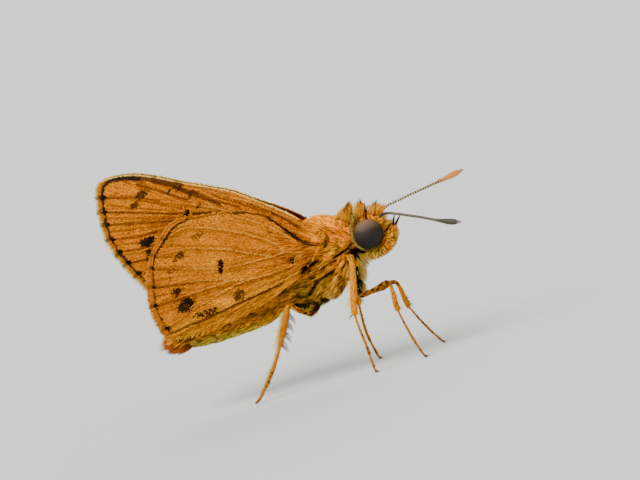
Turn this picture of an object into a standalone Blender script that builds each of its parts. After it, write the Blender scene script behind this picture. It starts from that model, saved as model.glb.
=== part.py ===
"""A common dartlet butterfly standing at rest with its wings closed over its back, life size.

Sizes are in millimetres, and the finished meshes are scaled to metres at the end.
+X is forward, +Y the animal's left and +Z up. The feet stand on z = 0.
Wing and vein points are (x, z) pairs, because both wings of a pair share one side view.
"""

import math

import bmesh
import bpy
from mathutils import Matrix, Vector
from mathutils.geometry import delaunay_2d_cdt

MM = 0.001
GAP = 0.3  # clear distance between neighbouring pieces
SIDES = {"right": -1, "left": 1}

# Trunk at the outside of its short fur: x, lowest z, highest z, half width.
TRUNK = (
    (1.75, 6.45, 8.75, 0.85),
    (1.2, 6.05, 9.15, 1.15),
    (0.6, 5.15, 9.35, 1.4),
    (0.0, 4.6, 9.4, 1.5),
    (-0.7, 4.25, 9.2, 1.45),
    (-1.4, 4.35, 8.6, 1.25),
    (-2.0, 4.6, 7.6, 1.05),
    (-2.6, 4.5, 6.8, 0.95),
    (-4.0, 3.97, 6.1, 0.95),
    (-6.0, 3.72, 5.75, 0.95),
    (-8.0, 3.7, 5.4, 0.85),
    (-9.0, 3.9, 5.1, 0.6),
    (-9.9, 4.25, 4.7, 0.22),
)
TRUNK_RING = 20
TRUNK_STEP = 0.5
TRUNK_EASING = 0.3
COLLAR_FRONT_X = 1.7
COLLAR_REAR_X = 1.15
THORAX_FRONT_X = COLLAR_REAR_X - GAP
THORAX_REAR_X = -2.05
ABDOMEN_FRONT_X = THORAX_REAR_X - GAP
ABDOMEN_TIP_X = -9.9

# Head capsule, cut flat towards the collar, with a dome for each eye.
HEAD_CENTRE = Vector((2.95, 0.0, 7.75))
HEAD_RADII = Vector((1.2, 1.02, 1.15))
HEAD_REAR_X = COLLAR_FRONT_X + GAP
EYE_CENTRE = Vector((2.88, 0.75, 7.63))
EYE_RADII = Vector((0.85, 0.73, 0.85))
HEAD_SEGMENTS = 20
EYE_SEGMENTS = 24

# Wings: thickness inside and at the rim, and how far each pair lies from the middle plane.
WING_THICKNESS = 0.5
RIM_THICKNESS = 0.32
FOREWING_REAR_Y = 0.4
ROOT_SPREAD = 0.95
ROOT_REACH = 2.6
WING_STEP = 0.85
ABDOMEN_BULGE = 0.3
BULGE_TOP_Z = 6.5
BULGE_DEPTH = 0.9
VEIN_HEIGHT = 0.1
VEIN_HALF_WIDTH = 0.2
RIM_STEP = 0.7
VEIN_STEP = 0.85
FILL_STEP = 1.2
LEAST_SPACING = 0.18
VEIN_END_STEP = 0.1
WING_SPAN = 16
WING_LOW_Z = 3.5
CDT_MERGE = 0.0001

FOREWING_BASE = (0.33, 8.11)
FOREWING_OUTLINE = (
    FOREWING_BASE,
    (-0.7, 9.42),
    (-2.0, 10.5),
    (-4.0, 11.9),
    (-6.0, 12.85),
    (-8.0, 13.83),
    (-9.4, 14.35),
    (-10.6, 14.55),
    (-11.35, 14.37),
    (-11.72, 13.7),
    (-11.93, 12.4),
    (-11.85, 11.1),
    (-11.5, 9.95),
    (-10.9, 8.85),
    (-10.35, 7.8),
    (-9.7, 7.4),
    (-6.0, 7.2),
    (-2.5, 7.25),
    (-0.5, 7.5),
)
# Each vein branches off at a point of the vein that it leaves, so that their ridges meet.
CELL_FRONT = ((-3.9, 10.55), (-4.9, 11.1), (-5.8, 11.55), (-6.75, 11.95))
CELL_END = ((-6.92, 11.55), (-6.85, 11.1))
CELL_REAR = ((-4.2, 9.55), (-5.6, 10.15), (-6.6, 10.7))
FOREWING_VEINS = (
    ((-0.6, 8.95), (-3.0, 10.75), (-5.6, 12.6)),
    ((-0.6, 8.5), (-2.2, 9.55), *CELL_FRONT),
    ((-0.6, 8.1), (-2.2, 8.75), *CELL_REAR),
    (CELL_FRONT[3], *CELL_END, CELL_REAR[2]),
    (CELL_FRONT[0], (-5.4, 11.9), (-6.9, 13.2)),
    (CELL_FRONT[1], (-6.4, 12.4), (-8.1, 13.8)),
    (CELL_FRONT[2], (-7.3, 12.75), (-9.2, 14.2)),
    (CELL_FRONT[3], (-8.1, 12.95), (-10.3, 14.4)),
    (CELL_FRONT[3], (-9.65, 13.08), (-11.6, 13.65)),
    (CELL_END[0], (-9.0, 12.13), (-11.8, 12.85)),
    (CELL_END[1], (-10.15, 11.7), (-11.8, 12.05)),
    (CELL_REAR[2], (-8.6, 10.95), (-11.8, 11.15)),
    (CELL_REAR[1], (-8.0, 10.1), (-11.5, 10.15)),
    (CELL_REAR[0], (-7.0, 9.4), (-11.2, 9.53)),
    ((-0.6, 7.75), (-5.0, 8.15), (-10.8, 8.8)),
)

HINDWING_OUTLINE = (
    (-0.35, 8.06),
    (-1.0, 8.6),
    (-2.1, 9.85),
    (-3.0, 10.44),
    (-4.3, 10.95),
    (-5.6, 11.15),
    (-6.96, 11.1),
    (-8.1, 10.85),
    (-9.2, 10.05),
    (-9.85, 9.0),
    (-10.2, 7.6),
    (-10.23, 6.5),
    (-10.12, 5.5),
    (-9.8, 4.95),
    (-9.2, 4.55),
    (-8.5, 4.4),
    (-7.2, 4.6),
    (-5.6, 4.95),
    (-4.0, 5.35),
    (-2.6, 5.8),
    (-1.4, 6.35),
    (-0.6, 7.2),
)
ROOT_FORK = (-1.1, 7.65)
FRONT_FORK = (-1.86, 7.95)
CELL_FORK = (-2.6, 7.83)
REAR_FORKS = ((-4.4, 6.93), (-5.3, 7.12))
HINDWING_VEINS = (
    ((-0.9, 8.15), (-2.3, 9.5), (-4.2, 10.65)),
    (ROOT_FORK, FRONT_FORK, (-2.62, 8.77), (-4.4, 9.8), (-7.0, 10.7), (-8.5, 10.4)),
    (FRONT_FORK, CELL_FORK, (-4.0, 8.39), (-6.0, 9.2), (-9.5, 9.4)),
    (CELL_FORK, (-5.0, 7.85), (-7.4, 8.4), (-9.8, 8.95)),
    (ROOT_FORK, (-1.8, 7.05), (-3.0, 6.93), *REAR_FORKS, (-7.0, 7.58), (-10.0, 7.9)),
    (REAR_FORKS[1], (-7.4, 7.0), (-10.1, 6.85)),
    (REAR_FORKS[0], (-6.4, 6.5), (-8.2, 5.95), (-9.9, 5.5)),
    ((-1.4, 6.75), (-3.0, 6.2), (-5.0, 5.9), (-7.0, 5.48), (-9.5, 4.95)),
)

# Feelers: path of the right and of the left one, with a club before the bent tip.
FEELER_RADIUS = 0.25
CLUB_RADIUS = 0.33
FEELER_TIP_RADIUS = 0.1
FEELERS = {
    "right": (
        (3.95, -0.62, 8.5), (4.73, -1.2, 8.38), (6.16, -2.4, 7.88),
        (7.4, -3.4, 7.46), (8.41, -4.2, 7.23),
    ),
    "left": (
        (3.95, 0.62, 8.52), (4.99, 1.5, 8.76), (6.3, 2.4, 8.92),
        (7.71, 3.3, 9.08), (8.85, 4.05, 9.24),
    ),
}
FEELER_STEP = 0.4
CLUB_START = 0.7
CLUB_MIDDLE = 0.84

# Palps: the brush under the face and the thin upright last joint.
PALP_Y = 0.5
PALP_BRUSH = ((2.75, 6.3), (3.3, 6.5), (3.85, 6.8), (4.2, 7.2), (4.3, 7.55))
PALP_BRUSH_RADII = (0.26, 0.34, 0.36, 0.34, 0.26)
PALP_NEEDLE = ((4.28, 7.4), (4.42, 7.85), (4.65, 8.3))
PALP_NEEDLE_RADII = (0.22, 0.16, 0.07)

# Legs as centre lines with radii: (x, y, z, radius). Each ends along the floor on a small flat.
TOE_Z = 0.17
HEEL_Z = 0.2
LEGS = {
    "foreleg_right": (
        (1.62, -0.55, 6.6, 0.3), (1.5, -0.68, 5.6, 0.32), (1.45, -0.75, 4.35, 0.28),
        (2.4, -1.0, 4.42, 0.32), (3.3, -1.2, 4.6, 0.28), (3.38, -1.45, 3.1, 0.27),
        (3.75, -1.7, 1.4, 0.25), (4.15, -1.8, HEEL_Z, 0.25), (4.75, -1.85, TOE_Z, 0.22),
    ),
    "foreleg_left": (
        (1.62, 0.55, 6.6, 0.3), (1.55, 0.7, 5.6, 0.32), (1.6, 0.8, 4.3, 0.28),
        (2.6, 1.1, 4.15, 0.32), (3.5, 1.4, 4.2, 0.28), (3.8, 1.75, 2.68, 0.27),
        (4.5, 2.05, 1.15, 0.25), (5.05, 2.18, HEEL_Z, 0.25), (5.65, 2.25, TOE_Z, 0.22),
    ),
    "midleg_right": (
        (0.0, -0.6, 5.0, 0.4), (0.45, -1.5, 5.1, 0.42), (1.15, -2.3, 6.0, 0.42), (1.72, -2.85, 6.75, 0.32),
        (1.5, -3.0, 5.4, 0.28), (1.1, -3.1, 3.66, 0.27),
        (1.24, -2.95, 1.67, 0.25), (1.35, -2.78, HEEL_Z, 0.25), (1.85, -2.7, TOE_Z, 0.22),
    ),
    "midleg_left": (
        (0.0, 0.6, 5.0, 0.4), (0.35, 1.5, 5.0, 0.42), (0.95, 2.3, 5.7, 0.42), (1.45, 2.9, 6.4, 0.32),
        (1.25, 3.05, 5.1, 0.28), (0.98, 3.05, 3.47, 0.27),
        (0.95, 2.9, 1.7, 0.25), (1.3, 2.7, HEEL_Z, 0.25), (1.85, 2.6, TOE_Z, 0.22),
    ),
    "hindleg_right": (
        (-0.75, -0.4, 4.6, 0.34), (-0.95, -0.8, 3.9, 0.34), (-1.8, -1.3, 4.25, 0.34),
        (-2.55, -1.65, 4.8, 0.3), (-3.05, -1.85, 3.9, 0.27), (-3.6, -2.0, 2.85, 0.27),
        (-4.3, -2.15, 1.68, 0.25), (-5.1, -2.3, 0.7, 0.25), (-5.6, -2.36, HEEL_Z, 0.25),
        (-6.25, -2.4, TOE_Z, 0.22),
    ),
    "hindleg_left": (
        (-0.75, 0.4, 4.6, 0.34), (-0.95, 0.8, 3.9, 0.34), (-1.8, 1.35, 4.2, 0.34),
        (-2.5, 1.7, 4.75, 0.3), (-3.0, 1.9, 3.9, 0.27), (-3.5, 2.05, 2.85, 0.27),
        (-4.2, 2.2, 1.68, 0.25), (-5.0, 2.35, 0.7, 0.25), (-5.5, 2.4, HEEL_Z, 0.25),
        (-6.15, 2.4, TOE_Z, 0.22),
    ),
}
# The lengths of each leg, and the point of its centre line at which each length ends.
LEG_PARTS = {
    "foreleg": (("coxa", 2), ("femur", 4), ("tibia", None)),
    "midleg": (("femur", 3), ("tibia", None)),
    "hindleg": (("femur", 3), ("tibia", None)),
}
# Spurs of each pair's shins: the point of the centre line after which two grow, and the share of the way on.
SPURS = {"midleg": ((4, 0.95),), "hindleg": ((4, 0.3), (4, 0.95))}
SPUR_LENGTH = 0.85
SPUR_RADII = (0.21, 0.13, 0.04)
SPUR_SPREAD = Vector((0.3, 0.35, 0.0))
LEG_STEP = 0.45

# Tufts of long scales as rows of locks: root and tip in side view, spread at the root and the tip, number.
LOCK_RINGS = 5
LOCK_THICKNESS = 0.55
LOCK_TAPER = 0.82
LOCK_OVERLAP = 0.15
LOCK_SPREAD_SHARE = 0.6
OUTER_LOCK_SHORTER = 0.12
NEXT_LOCK_SHORTER = 0.08
HEAD_TUFTS = (
    ((2.7, 8.4), (2.62, 9.1), (2.84, 9.66), 0.6, 0.75, 4),
    ((3.1, 8.4), (3.12, 8.95), (3.25, 9.3), 0.55, 0.65, 4),
    ((3.4, 8.3), (3.5, 8.95), (3.74, 9.3), 0.4, 0.5, 4),
    ((3.55, 8.1), (3.95, 8.6), (4.24, 8.88), 0.3, 0.42, 3),
    ((3.5, 7.9), (4.05, 8.15), (4.5, 8.25), 0.25, 0.3, 3),
    ((3.5, 7.7), (4.1, 7.8), (4.5, 7.85), 0.2, 0.25, 2),
)
COLLAR_TUFTS = (
    ((1.45, 8.5), (1.7, 9.25), (2.25, 9.64), 0.6, 0.75, 5),
    ((1.4, 6.8), (1.85, 6.1), (2.15, 5.1), 0.25, 0.3, 3),
)
PALP_LOCKS = (
    ((3.2, 6.55), (2.85, 6.2), (2.45, 6.0)),
    ((3.5, 6.7), (3.3, 6.3), (3.05, 6.12)),
    ((3.9, 6.9), (3.95, 6.6), (4.1, 6.4)),
    ((4.1, 7.2), (4.4, 7.0), (4.52, 6.85)),
    ((4.1, 7.4), (4.45, 7.4), (4.62, 7.55)),
)
PALP_LOCK_HALF_WIDTH = 0.24
TAIL_LOCKS = 8
TAIL_ROOT_X = -9.2
TAIL_TIP_X = -10.42
TAIL_CENTRE_Z = 4.42
TAIL_ROOT_SPREAD = 0.25
TAIL_BEND_SPREAD = 0.36
TAIL_TIP_SPREAD = 0.22
TAIL_LOCK_HALF_WIDTH = 0.3
TAIL_BEND_X = -9.8
TAIL_TIP_STEP = 0.1

COLOURS = {
    "head": (0.6, 0.33, 0.09),
    "eye": (0.03, 0.025, 0.025),
    "palp": (0.62, 0.5, 0.2),
    "antenna": (0.25, 0.14, 0.05),
    "collar": (0.68, 0.34, 0.09),
    "thorax": (0.6, 0.3, 0.09),
    "abdomen": (0.36, 0.3, 0.07),
    "forewing": (0.64, 0.27, 0.035),
    "hindwing": (0.6, 0.23, 0.025),
    "foreleg": (0.56, 0.24, 0.05),
    "midleg": (0.6, 0.25, 0.05),
    "hindleg": (0.6, 0.26, 0.06),
}
ROUGHNESS = 0.75
EYE_ROUGHNESS = 0.25
SHARP_ANGLE = 40
MERGE_DISTANCE = 0.001
CUT_TOLERANCE = 0.00001


def clear_scene():
    for obj in list(bpy.data.objects):
        bpy.data.objects.remove(obj, do_unlink=True)


def new_collection(name):
    collection = bpy.data.collections.new(name)
    bpy.context.scene.collection.children.link(collection)
    return collection


def object_from(bm, name):
    """An object in the work collection with the bmesh's faces turned outwards."""
    bmesh.ops.recalc_face_normals(bm, faces=bm.faces)
    mesh = bpy.data.meshes.new(name)
    bm.to_mesh(mesh)
    bm.free()
    obj = bpy.data.objects.new(name, mesh)
    WORK.objects.link(obj)
    return obj


def between(a, b, share):
    return a + (b - a) * share


def smooth_path(points, step, closed=False):
    """Points about a step apart on a Catmull-Rom curve through the given ones."""
    knots = [Vector(point) for point in points]
    count = len(knots)
    spans = count if closed else count - 1
    path = []
    for i in range(spans):
        a, b = knots[i], knots[(i + 1) % count]
        before = knots[i - 1] if closed or i > 0 else a
        after = knots[(i + 2) % count] if closed or i + 2 < count else b
        pieces = max(1, round((b - a).length / step))
        for k in range(pieces):
            t = k / pieces
            path.append(
                0.5
                * (
                    2 * a
                    + (b - before) * t
                    + (2 * before - 5 * a + 4 * b - after) * t**2
                    + (3 * a - before - 3 * b + after) * t**3
                )
            )
    if not closed:
        path.append(knots[-1])
    return path


def loft(name, rings):
    """A closed body through rings with the same number of points, with flat ends."""
    bm = bmesh.new()
    rows = [[bm.verts.new(point) for point in ring] for ring in rings]
    count = len(rows[0])
    for lower, upper in zip(rows, rows[1:]):
        for i in range(count):
            j = (i + 1) % count
            bm.faces.new((lower[i], lower[j], upper[j], upper[i]))
    bm.faces.new(rows[0])
    bm.faces.new(rows[-1])
    bmesh.ops.triangulate(bm, faces=bm.faces)
    return object_from(bm, name)


def tube(name, points, radii, resolution=2):
    """A round tube along the points, made from a bevelled curve and closed at both ends."""
    curve = bpy.data.curves.new(name, "CURVE")
    curve.dimensions = "3D"
    curve.bevel_depth = 1.0
    curve.bevel_resolution = resolution
    curve.use_fill_caps = True
    spline = curve.splines.new("POLY")
    spline.points.add(len(points) - 1)
    for knot, point, radius in zip(spline.points, points, radii):
        knot.co = (*point, 1.0)
        knot.radius = radius
    guide = bpy.data.objects.new(name + "_guide", curve)
    WORK.objects.link(guide)
    bpy.context.view_layer.update()
    graph = bpy.context.evaluated_depsgraph_get()
    mesh = bpy.data.meshes.new_from_object(guide.evaluated_get(graph))
    bm = bmesh.new()
    bm.from_mesh(mesh)
    bmesh.ops.remove_doubles(bm, verts=bm.verts, dist=MERGE_DISTANCE)
    bmesh.ops.triangulate(bm, faces=bm.faces)
    bpy.data.objects.remove(guide, do_unlink=True)
    bpy.data.meshes.remove(mesh)
    return object_from(bm, name)


def ellipsoid(name, centre, radii, segments):
    bm = bmesh.new()
    bmesh.ops.create_uvsphere(bm, u_segments=segments, v_segments=segments // 2, radius=1.0)
    bmesh.ops.scale(bm, verts=bm.verts, vec=radii)
    bmesh.ops.translate(bm, verts=bm.verts, vec=centre)
    bmesh.ops.triangulate(bm, faces=bm.faces)
    return object_from(bm, name)


def trim(obj, point, normal):
    """Cuts away what lies on the normal's side of the plane and closes the cut with a flat face."""
    bm = bmesh.new()
    bm.from_mesh(obj.data)
    bmesh.ops.bisect_plane(
        bm,
        geom=bm.verts[:] + bm.edges[:] + bm.faces[:],
        dist=CUT_TOLERANCE,
        plane_co=Vector(point),
        plane_no=Vector(normal),
        clear_outer=True,
    )
    rim = [edge for edge in bm.edges if edge.is_boundary]
    bmesh.ops.holes_fill(bm, edges=rim, sides=0)
    bmesh.ops.triangulate(bm, faces=bm.faces)
    bmesh.ops.recalc_face_normals(bm, faces=bm.faces)
    bm.to_mesh(obj.data)
    bm.free()


def combine(obj, others, operation):
    """Joins the other objects to this one, or cuts them from it, and removes them."""
    group = bpy.data.collections.new(obj.name + "_" + operation.lower())
    bpy.context.scene.collection.children.link(group)
    for other in others:
        group.objects.link(other)
    modifier = obj.modifiers.new(operation.title(), "BOOLEAN")
    modifier.operation = operation
    modifier.operand_type = "COLLECTION"
    modifier.collection = group
    modifier.solver = "EXACT"
    modifier.use_self = operation == "UNION"
    bpy.context.view_layer.update()
    graph = bpy.context.evaluated_depsgraph_get()
    result = bpy.data.meshes.new_from_object(obj.evaluated_get(graph))
    obj.modifiers.clear()
    old = obj.data
    obj.data = result
    bpy.data.meshes.remove(old)
    for other in others:
        bpy.data.objects.remove(other, do_unlink=True)
    bpy.data.collections.remove(group)
    keep_largest(obj)


def keep_largest(obj):
    """Keeps only the largest closed surface of the object."""
    bm = bmesh.new()
    bm.from_mesh(obj.data)
    unseen = set(bm.verts)
    surfaces = []
    while unseen:
        surface = {unseen.pop()}
        edge_of_surface = list(surface)
        while edge_of_surface:
            vert = edge_of_surface.pop()
            for edge in vert.link_edges:
                other = edge.other_vert(vert)
                if other in unseen:
                    unseen.remove(other)
                    surface.add(other)
                    edge_of_surface.append(other)
        surfaces.append(surface)
    largest = max(surfaces, key=len)
    loose = [vert for vert in bm.verts if vert not in largest]
    bmesh.ops.delete(bm, geom=loose, context="VERTS")
    bm.to_mesh(obj.data)
    bm.free()


def finish(obj, name, kind):
    """Moves a piece into the model's own collection with its name and its material."""
    obj.name = name
    obj.data.name = name
    material = bpy.data.materials.new(name)
    material.use_nodes = True
    shader = material.node_tree.nodes["Principled BSDF"]
    shader.inputs["Base Color"].default_value = (*COLOURS[kind], 1.0)
    shader.inputs["Roughness"].default_value = EYE_ROUGHNESS if kind == "eye" else ROUGHNESS
    shader.inputs["Metallic"].default_value = 0.0
    obj.data.materials.clear()
    obj.data.materials.append(material)
    obj.data.shade_smooth()
    obj.data.set_sharp_from_angle(angle=math.radians(SHARP_ANGLE))
    WORK.objects.unlink(obj)
    PARTS.objects.link(obj)


def trunk_section(x, grow):
    """The trunk's ring of points at x, with its sizes read from the stations on either side."""
    stations = [Vector(station) for station in TRUNK]
    i = 0
    while i < len(stations) - 2 and x < stations[i + 1][0]:
        i += 1
    share = (stations[i][0] - x) / (stations[i][0] - stations[i + 1][0])
    if 0 < i < len(stations) - 2:
        share = between(share, share * share * (3 - 2 * share), TRUNK_EASING)
    _, low, high, half_width = between(stations[i], stations[i + 1], share)
    middle = (low + high) / 2
    half_height = (high - low) / 2 + grow
    ring = []
    for k in range(TRUNK_RING):
        angle = 2 * math.pi * k / TRUNK_RING
        y = (half_width + grow) * math.sin(angle)
        z = middle + half_height * math.cos(angle)
        ring.append(Vector((x, y, z)))
    return ring


def trunk_length(name, front, rear, grow=0.0):
    """The length of the trunk between two flat ends, or one that is grown all round as a cutter."""
    count = max(2, round((front - rear) / TRUNK_STEP))
    rings = []
    for i in range(count + 1):
        x = between(front, rear, i / count)
        rings.append(trunk_section(x, grow))
    rings[0] = [point + Vector((grow, 0, 0)) for point in rings[0]]
    rings[-1] = [point - Vector((grow, 0, 0)) for point in rings[-1]]
    return loft(name, rings)


def forewing_y(x, z):
    """How far the middle of the forewing's membrane lies from the middle plane."""
    reach = math.hypot(x - FOREWING_BASE[0], z - FOREWING_BASE[1])
    return FOREWING_REAR_Y + ROOT_SPREAD * math.exp(-((reach / ROOT_REACH) ** 2))


def hindwing_y(x, z):
    """As forewing_y, for the hindwing, which lies outside it and bulges round the abdomen."""
    share = min(1.0, max(0.0, (BULGE_TOP_Z - z) / BULGE_DEPTH))
    return forewing_y(x, z) + WING_STEP + ABDOMEN_BULGE * share * share * (3 - 2 * share)


def distance_to_path(point, path):
    best = math.inf
    for a, b in zip(path, path[1:]):
        along = b - a
        share = max(0.0, min(1.0, (point - a).dot(along) / along.length_squared))
        best = min(best, (point - between(a, b, share)).length)
    return best


def inside(point, outline):
    crossings = 0
    for a, b in zip(outline, outline[1:] + outline[:1]):
        if (a.y > point.y) != (b.y > point.y):
            crossing_x = a.x + (point.y - a.y) / (b.y - a.y) * (b.x - a.x)
            crossings += point.x < crossing_x
    return crossings % 2 == 1


def grown_outline(rim, distance):
    """The closed outline moved outwards all round by a distance."""
    area = sum(a.cross(b) for a, b in zip(rim, rim[1:] + rim[:1]))
    turn = math.copysign(1.0, area)
    grown = []
    for i, point in enumerate(rim):
        along = (rim[(i + 1) % len(rim)] - rim[i - 1]).normalized()
        grown.append(point + Vector((along.y, -along.x)) * distance * turn)
    return grown


def add_spaced(points, candidates, paths, path_gap, spacing):
    """Adds the candidates that keep their distance from the paths and from the other points."""
    for point in candidates:
        near_path = min(distance_to_path(point, path) for path in paths)
        if near_path > path_gap and all((point - other).length > spacing for other in points):
            points.append(point)


def vein_sides(path):
    """Points on both sides of a vein, where its ridge runs out into the membrane."""
    beside = []
    for before, point, after in zip(path, path[1:], path[2:]):
        along = (after - before).normalized()
        across = Vector((-along.y, along.x)) * VEIN_HALF_WIDTH
        beside += [point + across, point - across]
    return beside


def wing_plan(outline, veins):
    """The side view of a wing: its points, the edges that its veins keep, its rim and the veins' paths."""
    rim = smooth_path(outline, RIM_STEP, closed=True)
    rim_path = rim + rim[:1]
    points = list(rim)
    edges = []
    paths = []
    for vein in veins:
        path = smooth_path(vein, VEIN_STEP)
        while distance_to_path(path[-2], rim_path) < LEAST_SPACING:
            path.pop()
        while distance_to_path(path[-1], rim_path) < LEAST_SPACING:
            path[-1] = between(path[-1], path[-2], VEIN_END_STEP)
        paths.append(path)
        for i, point in enumerate(path):
            points.append(point)
            if i > 0:
                edges.append((len(points) - 2, len(points) - 1))
    beside = []
    for path in paths:
        beside += vein_sides(path)
    beside = [point for point in beside if inside(point, rim)]
    add_spaced(points, beside, [rim_path], LEAST_SPACING, LEAST_SPACING)
    count = int(WING_SPAN / FILL_STEP)
    fill = []
    for i in range(count):
        for j in range(count):
            fill.append(Vector((((j % 2) / 2 - i) * FILL_STEP, WING_LOW_Z + j * FILL_STEP)))
    fill = [point for point in fill if inside(point, rim)]
    add_spaced(points, fill, [rim_path, *paths], FILL_STEP / 2, FILL_STEP / 2)
    return points, edges, rim, paths


def wing(name, outline, veins, middle_y, side):
    """A thin curved membrane with raised veins. Both faces are split into the same triangles."""
    points, edges, rim, paths = wing_plan(outline, veins)
    found, _, faces, _, _, _ = delaunay_2d_cdt(points, edges, [list(range(len(rim)))], 1, CDT_MERGE)
    bm = bmesh.new()
    outer = []
    inner = []
    rim_path = rim + rim[:1]
    for point in found:
        at_rim = distance_to_path(point, rim_path) < CDT_MERGE * 10
        half = (RIM_THICKNESS if at_rim else WING_THICKNESS) / 2
        reach = min(distance_to_path(point, path) for path in paths)
        ridge = 0.0 if at_rim else VEIN_HEIGHT * max(0.0, 1 - reach / VEIN_HALF_WIDTH)
        y = middle_y(point.x, point.y)
        outer.append(bm.verts.new((point.x, side * (y + half + ridge), point.y)))
        inner.append(bm.verts.new((point.x, side * (y - half), point.y)))
    for face in faces:
        bm.faces.new([outer[i] for i in face])
        bm.faces.new([inner[i] for i in reversed(face)])
    close_rim(bm, outer, inner, faces)
    return object_from(bm, name)


def close_rim(bm, outer, inner, faces):
    """Joins the two faces of a membrane along the edges that only one triangle uses."""
    used = set()
    for face in faces:
        for a, b in zip(face, face[1:] + face[:1]):
            used.add((a, b))
    for a, b in sorted(used):
        if (b, a) not in used:
            bm.faces.new((outer[b], outer[a], inner[a]))
            bm.faces.new((outer[b], inner[a], inner[b]))


def wing_cutter(name, outline, middle_y, side):
    """The space that a wing needs in its neighbours, grown by the gap all round."""
    rim = grown_outline(smooth_path(outline, RIM_STEP, closed=True), GAP)
    found, _, faces, _, _, _ = delaunay_2d_cdt(rim, [], [list(range(len(rim)))], 1, CDT_MERGE)
    half = WING_THICKNESS / 2 + GAP
    bm = bmesh.new()
    outer = []
    inner = []
    for point in found:
        y = middle_y(point.x, point.y)
        outer.append(bm.verts.new((point.x, side * (y + half), point.y)))
        inner.append(bm.verts.new((point.x, side * (y - half), point.y)))
    for face in faces:
        bm.faces.new([outer[i] for i in face])
        bm.faces.new([inner[i] for i in reversed(face)])
    close_rim(bm, outer, inner, faces)
    return object_from(bm, name)


def lock(name, root, bend, tip, half_width):
    """A flat lock of long scales that bends from its root to a thin tip."""
    root, bend, tip = Vector(root), Vector(bend), Vector(tip)
    rings = []
    for i in range(LOCK_RINGS):
        t = i / (LOCK_RINGS - 1)
        centre = between(between(root, bend, t), between(bend, tip, t), t)
        along = between(bend - root, tip - bend, t).normalized()
        across = along.cross(Vector((0, 1, 0))).normalized()
        taper = 1 - LOCK_TAPER * t**2
        wide = Vector((0, 1, 0)) * half_width * taper
        deep = across * LOCK_THICKNESS / 2 * taper
        rings.append([centre + wide, centre + deep, centre - wide, centre - deep])
    return loft(name, rings)


def tuft(name, root, bend, tip, root_spread, tip_spread, count):
    """A row of locks side by side, the outer ones a little shorter."""
    locks = []
    for i in range(count):
        share = 2 * i / (count - 1) - 1
        root_y = root_spread * share
        tip_y = tip_spread * share
        shorter = OUTER_LOCK_SHORTER * share * share + NEXT_LOCK_SHORTER * (i % 2)
        tip_x = between(tip[0], bend[0], shorter)
        tip_z = between(tip[1], bend[1], shorter)
        half_width = LOCK_SPREAD_SHARE * root_spread / (count - 1) + LOCK_OVERLAP
        locks.append(
            lock(
                f"{name}_{i}",
                (root[0], root_y, root[1]),
                (bend[0], between(root_y, tip_y, 0.5), bend[1]),
                (tip_x, tip_y, tip_z),
                half_width,
            )
        )
    return locks


def eye_dome(name, side, grow=0.0):
    """An eye's dome, or its socket where it is grown by the gap."""
    centre = EYE_CENTRE * Vector((1, side, 1))
    radii = EYE_RADII + Vector((grow, grow, grow))
    dome = ellipsoid(name, centre, radii, EYE_SEGMENTS)
    trim(dome, (0, side * (EYE_CENTRE.y - grow), 0), (0, -side, 0))
    return dome


def palp(name, side, grow=0.0):
    brush_path = [Vector((x, side * PALP_Y, z)) for x, z in PALP_BRUSH]
    needle_path = [Vector((x, side * PALP_Y, z)) for x, z in PALP_NEEDLE]
    brush = tube(name, brush_path, [radius + grow for radius in PALP_BRUSH_RADII], 3)
    needle = tube(name + "_needle", needle_path, [radius + grow for radius in PALP_NEEDLE_RADII])
    pieces = [needle]
    if not grow:
        for i, points in enumerate(PALP_LOCKS):
            root, bend, tip = (Vector((x, side * PALP_Y, z)) for x, z in points)
            pieces.append(lock(f"{name}_lock_{i}", root, bend, tip, PALP_LOCK_HALF_WIDTH))
    combine(brush, pieces, "UNION")
    return brush


def feeler(name, side_name, grow=0.0):
    path = smooth_path(FEELERS[side_name], FEELER_STEP)
    radii = []
    for i in range(len(path)):
        share = i / (len(path) - 1)
        if share < CLUB_START:
            radius = FEELER_RADIUS
        elif share < CLUB_MIDDLE:
            radius = between(FEELER_RADIUS, CLUB_RADIUS, (share - CLUB_START) / (CLUB_MIDDLE - CLUB_START))
        else:
            radius = between(CLUB_RADIUS, FEELER_TIP_RADIUS, (share - CLUB_MIDDLE) / (1 - CLUB_MIDDLE))
        radii.append(radius + grow)
    path[0] -= (path[1] - path[0]).normalized() * grow
    return tube(name, path, radii)


def build_head():
    head = ellipsoid("head_capsule", HEAD_CENTRE, HEAD_RADII, HEAD_SEGMENTS)
    trim(head, (HEAD_REAR_X, 0, 0), (-1, 0, 0))
    locks = []
    for i, row in enumerate(HEAD_TUFTS):
        locks += tuft(f"head_tuft_{i}", *row)
    combine(head, locks, "UNION")
    cutters = []
    for side_name, side in SIDES.items():
        cutters.append(eye_dome("socket_" + side_name, side, GAP))
        cutters.append(palp("palp_room_" + side_name, side, GAP))
        cutters.append(feeler("feeler_room_" + side_name, side_name, GAP))
    combine(head, cutters, "DIFFERENCE")
    finish(head, "head", "head")


def build_face_parts():
    for side_name, side in SIDES.items():
        finish(eye_dome("eye", side), "eye_" + side_name, "eye")
        finish(palp("palp", side), "palp_" + side_name, "palp")
        finish(feeler("feeler", side_name), "antenna_" + side_name, "antenna")


def build_collar():
    collar = trunk_length("collar_ring", COLLAR_FRONT_X, COLLAR_REAR_X)
    locks = []
    for i, row in enumerate(COLLAR_TUFTS):
        locks += tuft(f"collar_tuft_{i}", *row)
    combine(collar, locks, "UNION")
    finish(collar, "collar", "collar")


def build_thorax():
    thorax = trunk_length("thorax_core", THORAX_FRONT_X, THORAX_REAR_X)
    cutters = []
    for side_name, side in SIDES.items():
        cutters.append(wing_cutter("forewing_room_" + side_name, FOREWING_OUTLINE, forewing_y, side))
        cutters.append(wing_cutter("hindwing_room_" + side_name, HINDWING_OUTLINE, hindwing_y, side))
    combine(thorax, cutters, "DIFFERENCE")
    finish(thorax, "thorax", "thorax")


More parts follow.
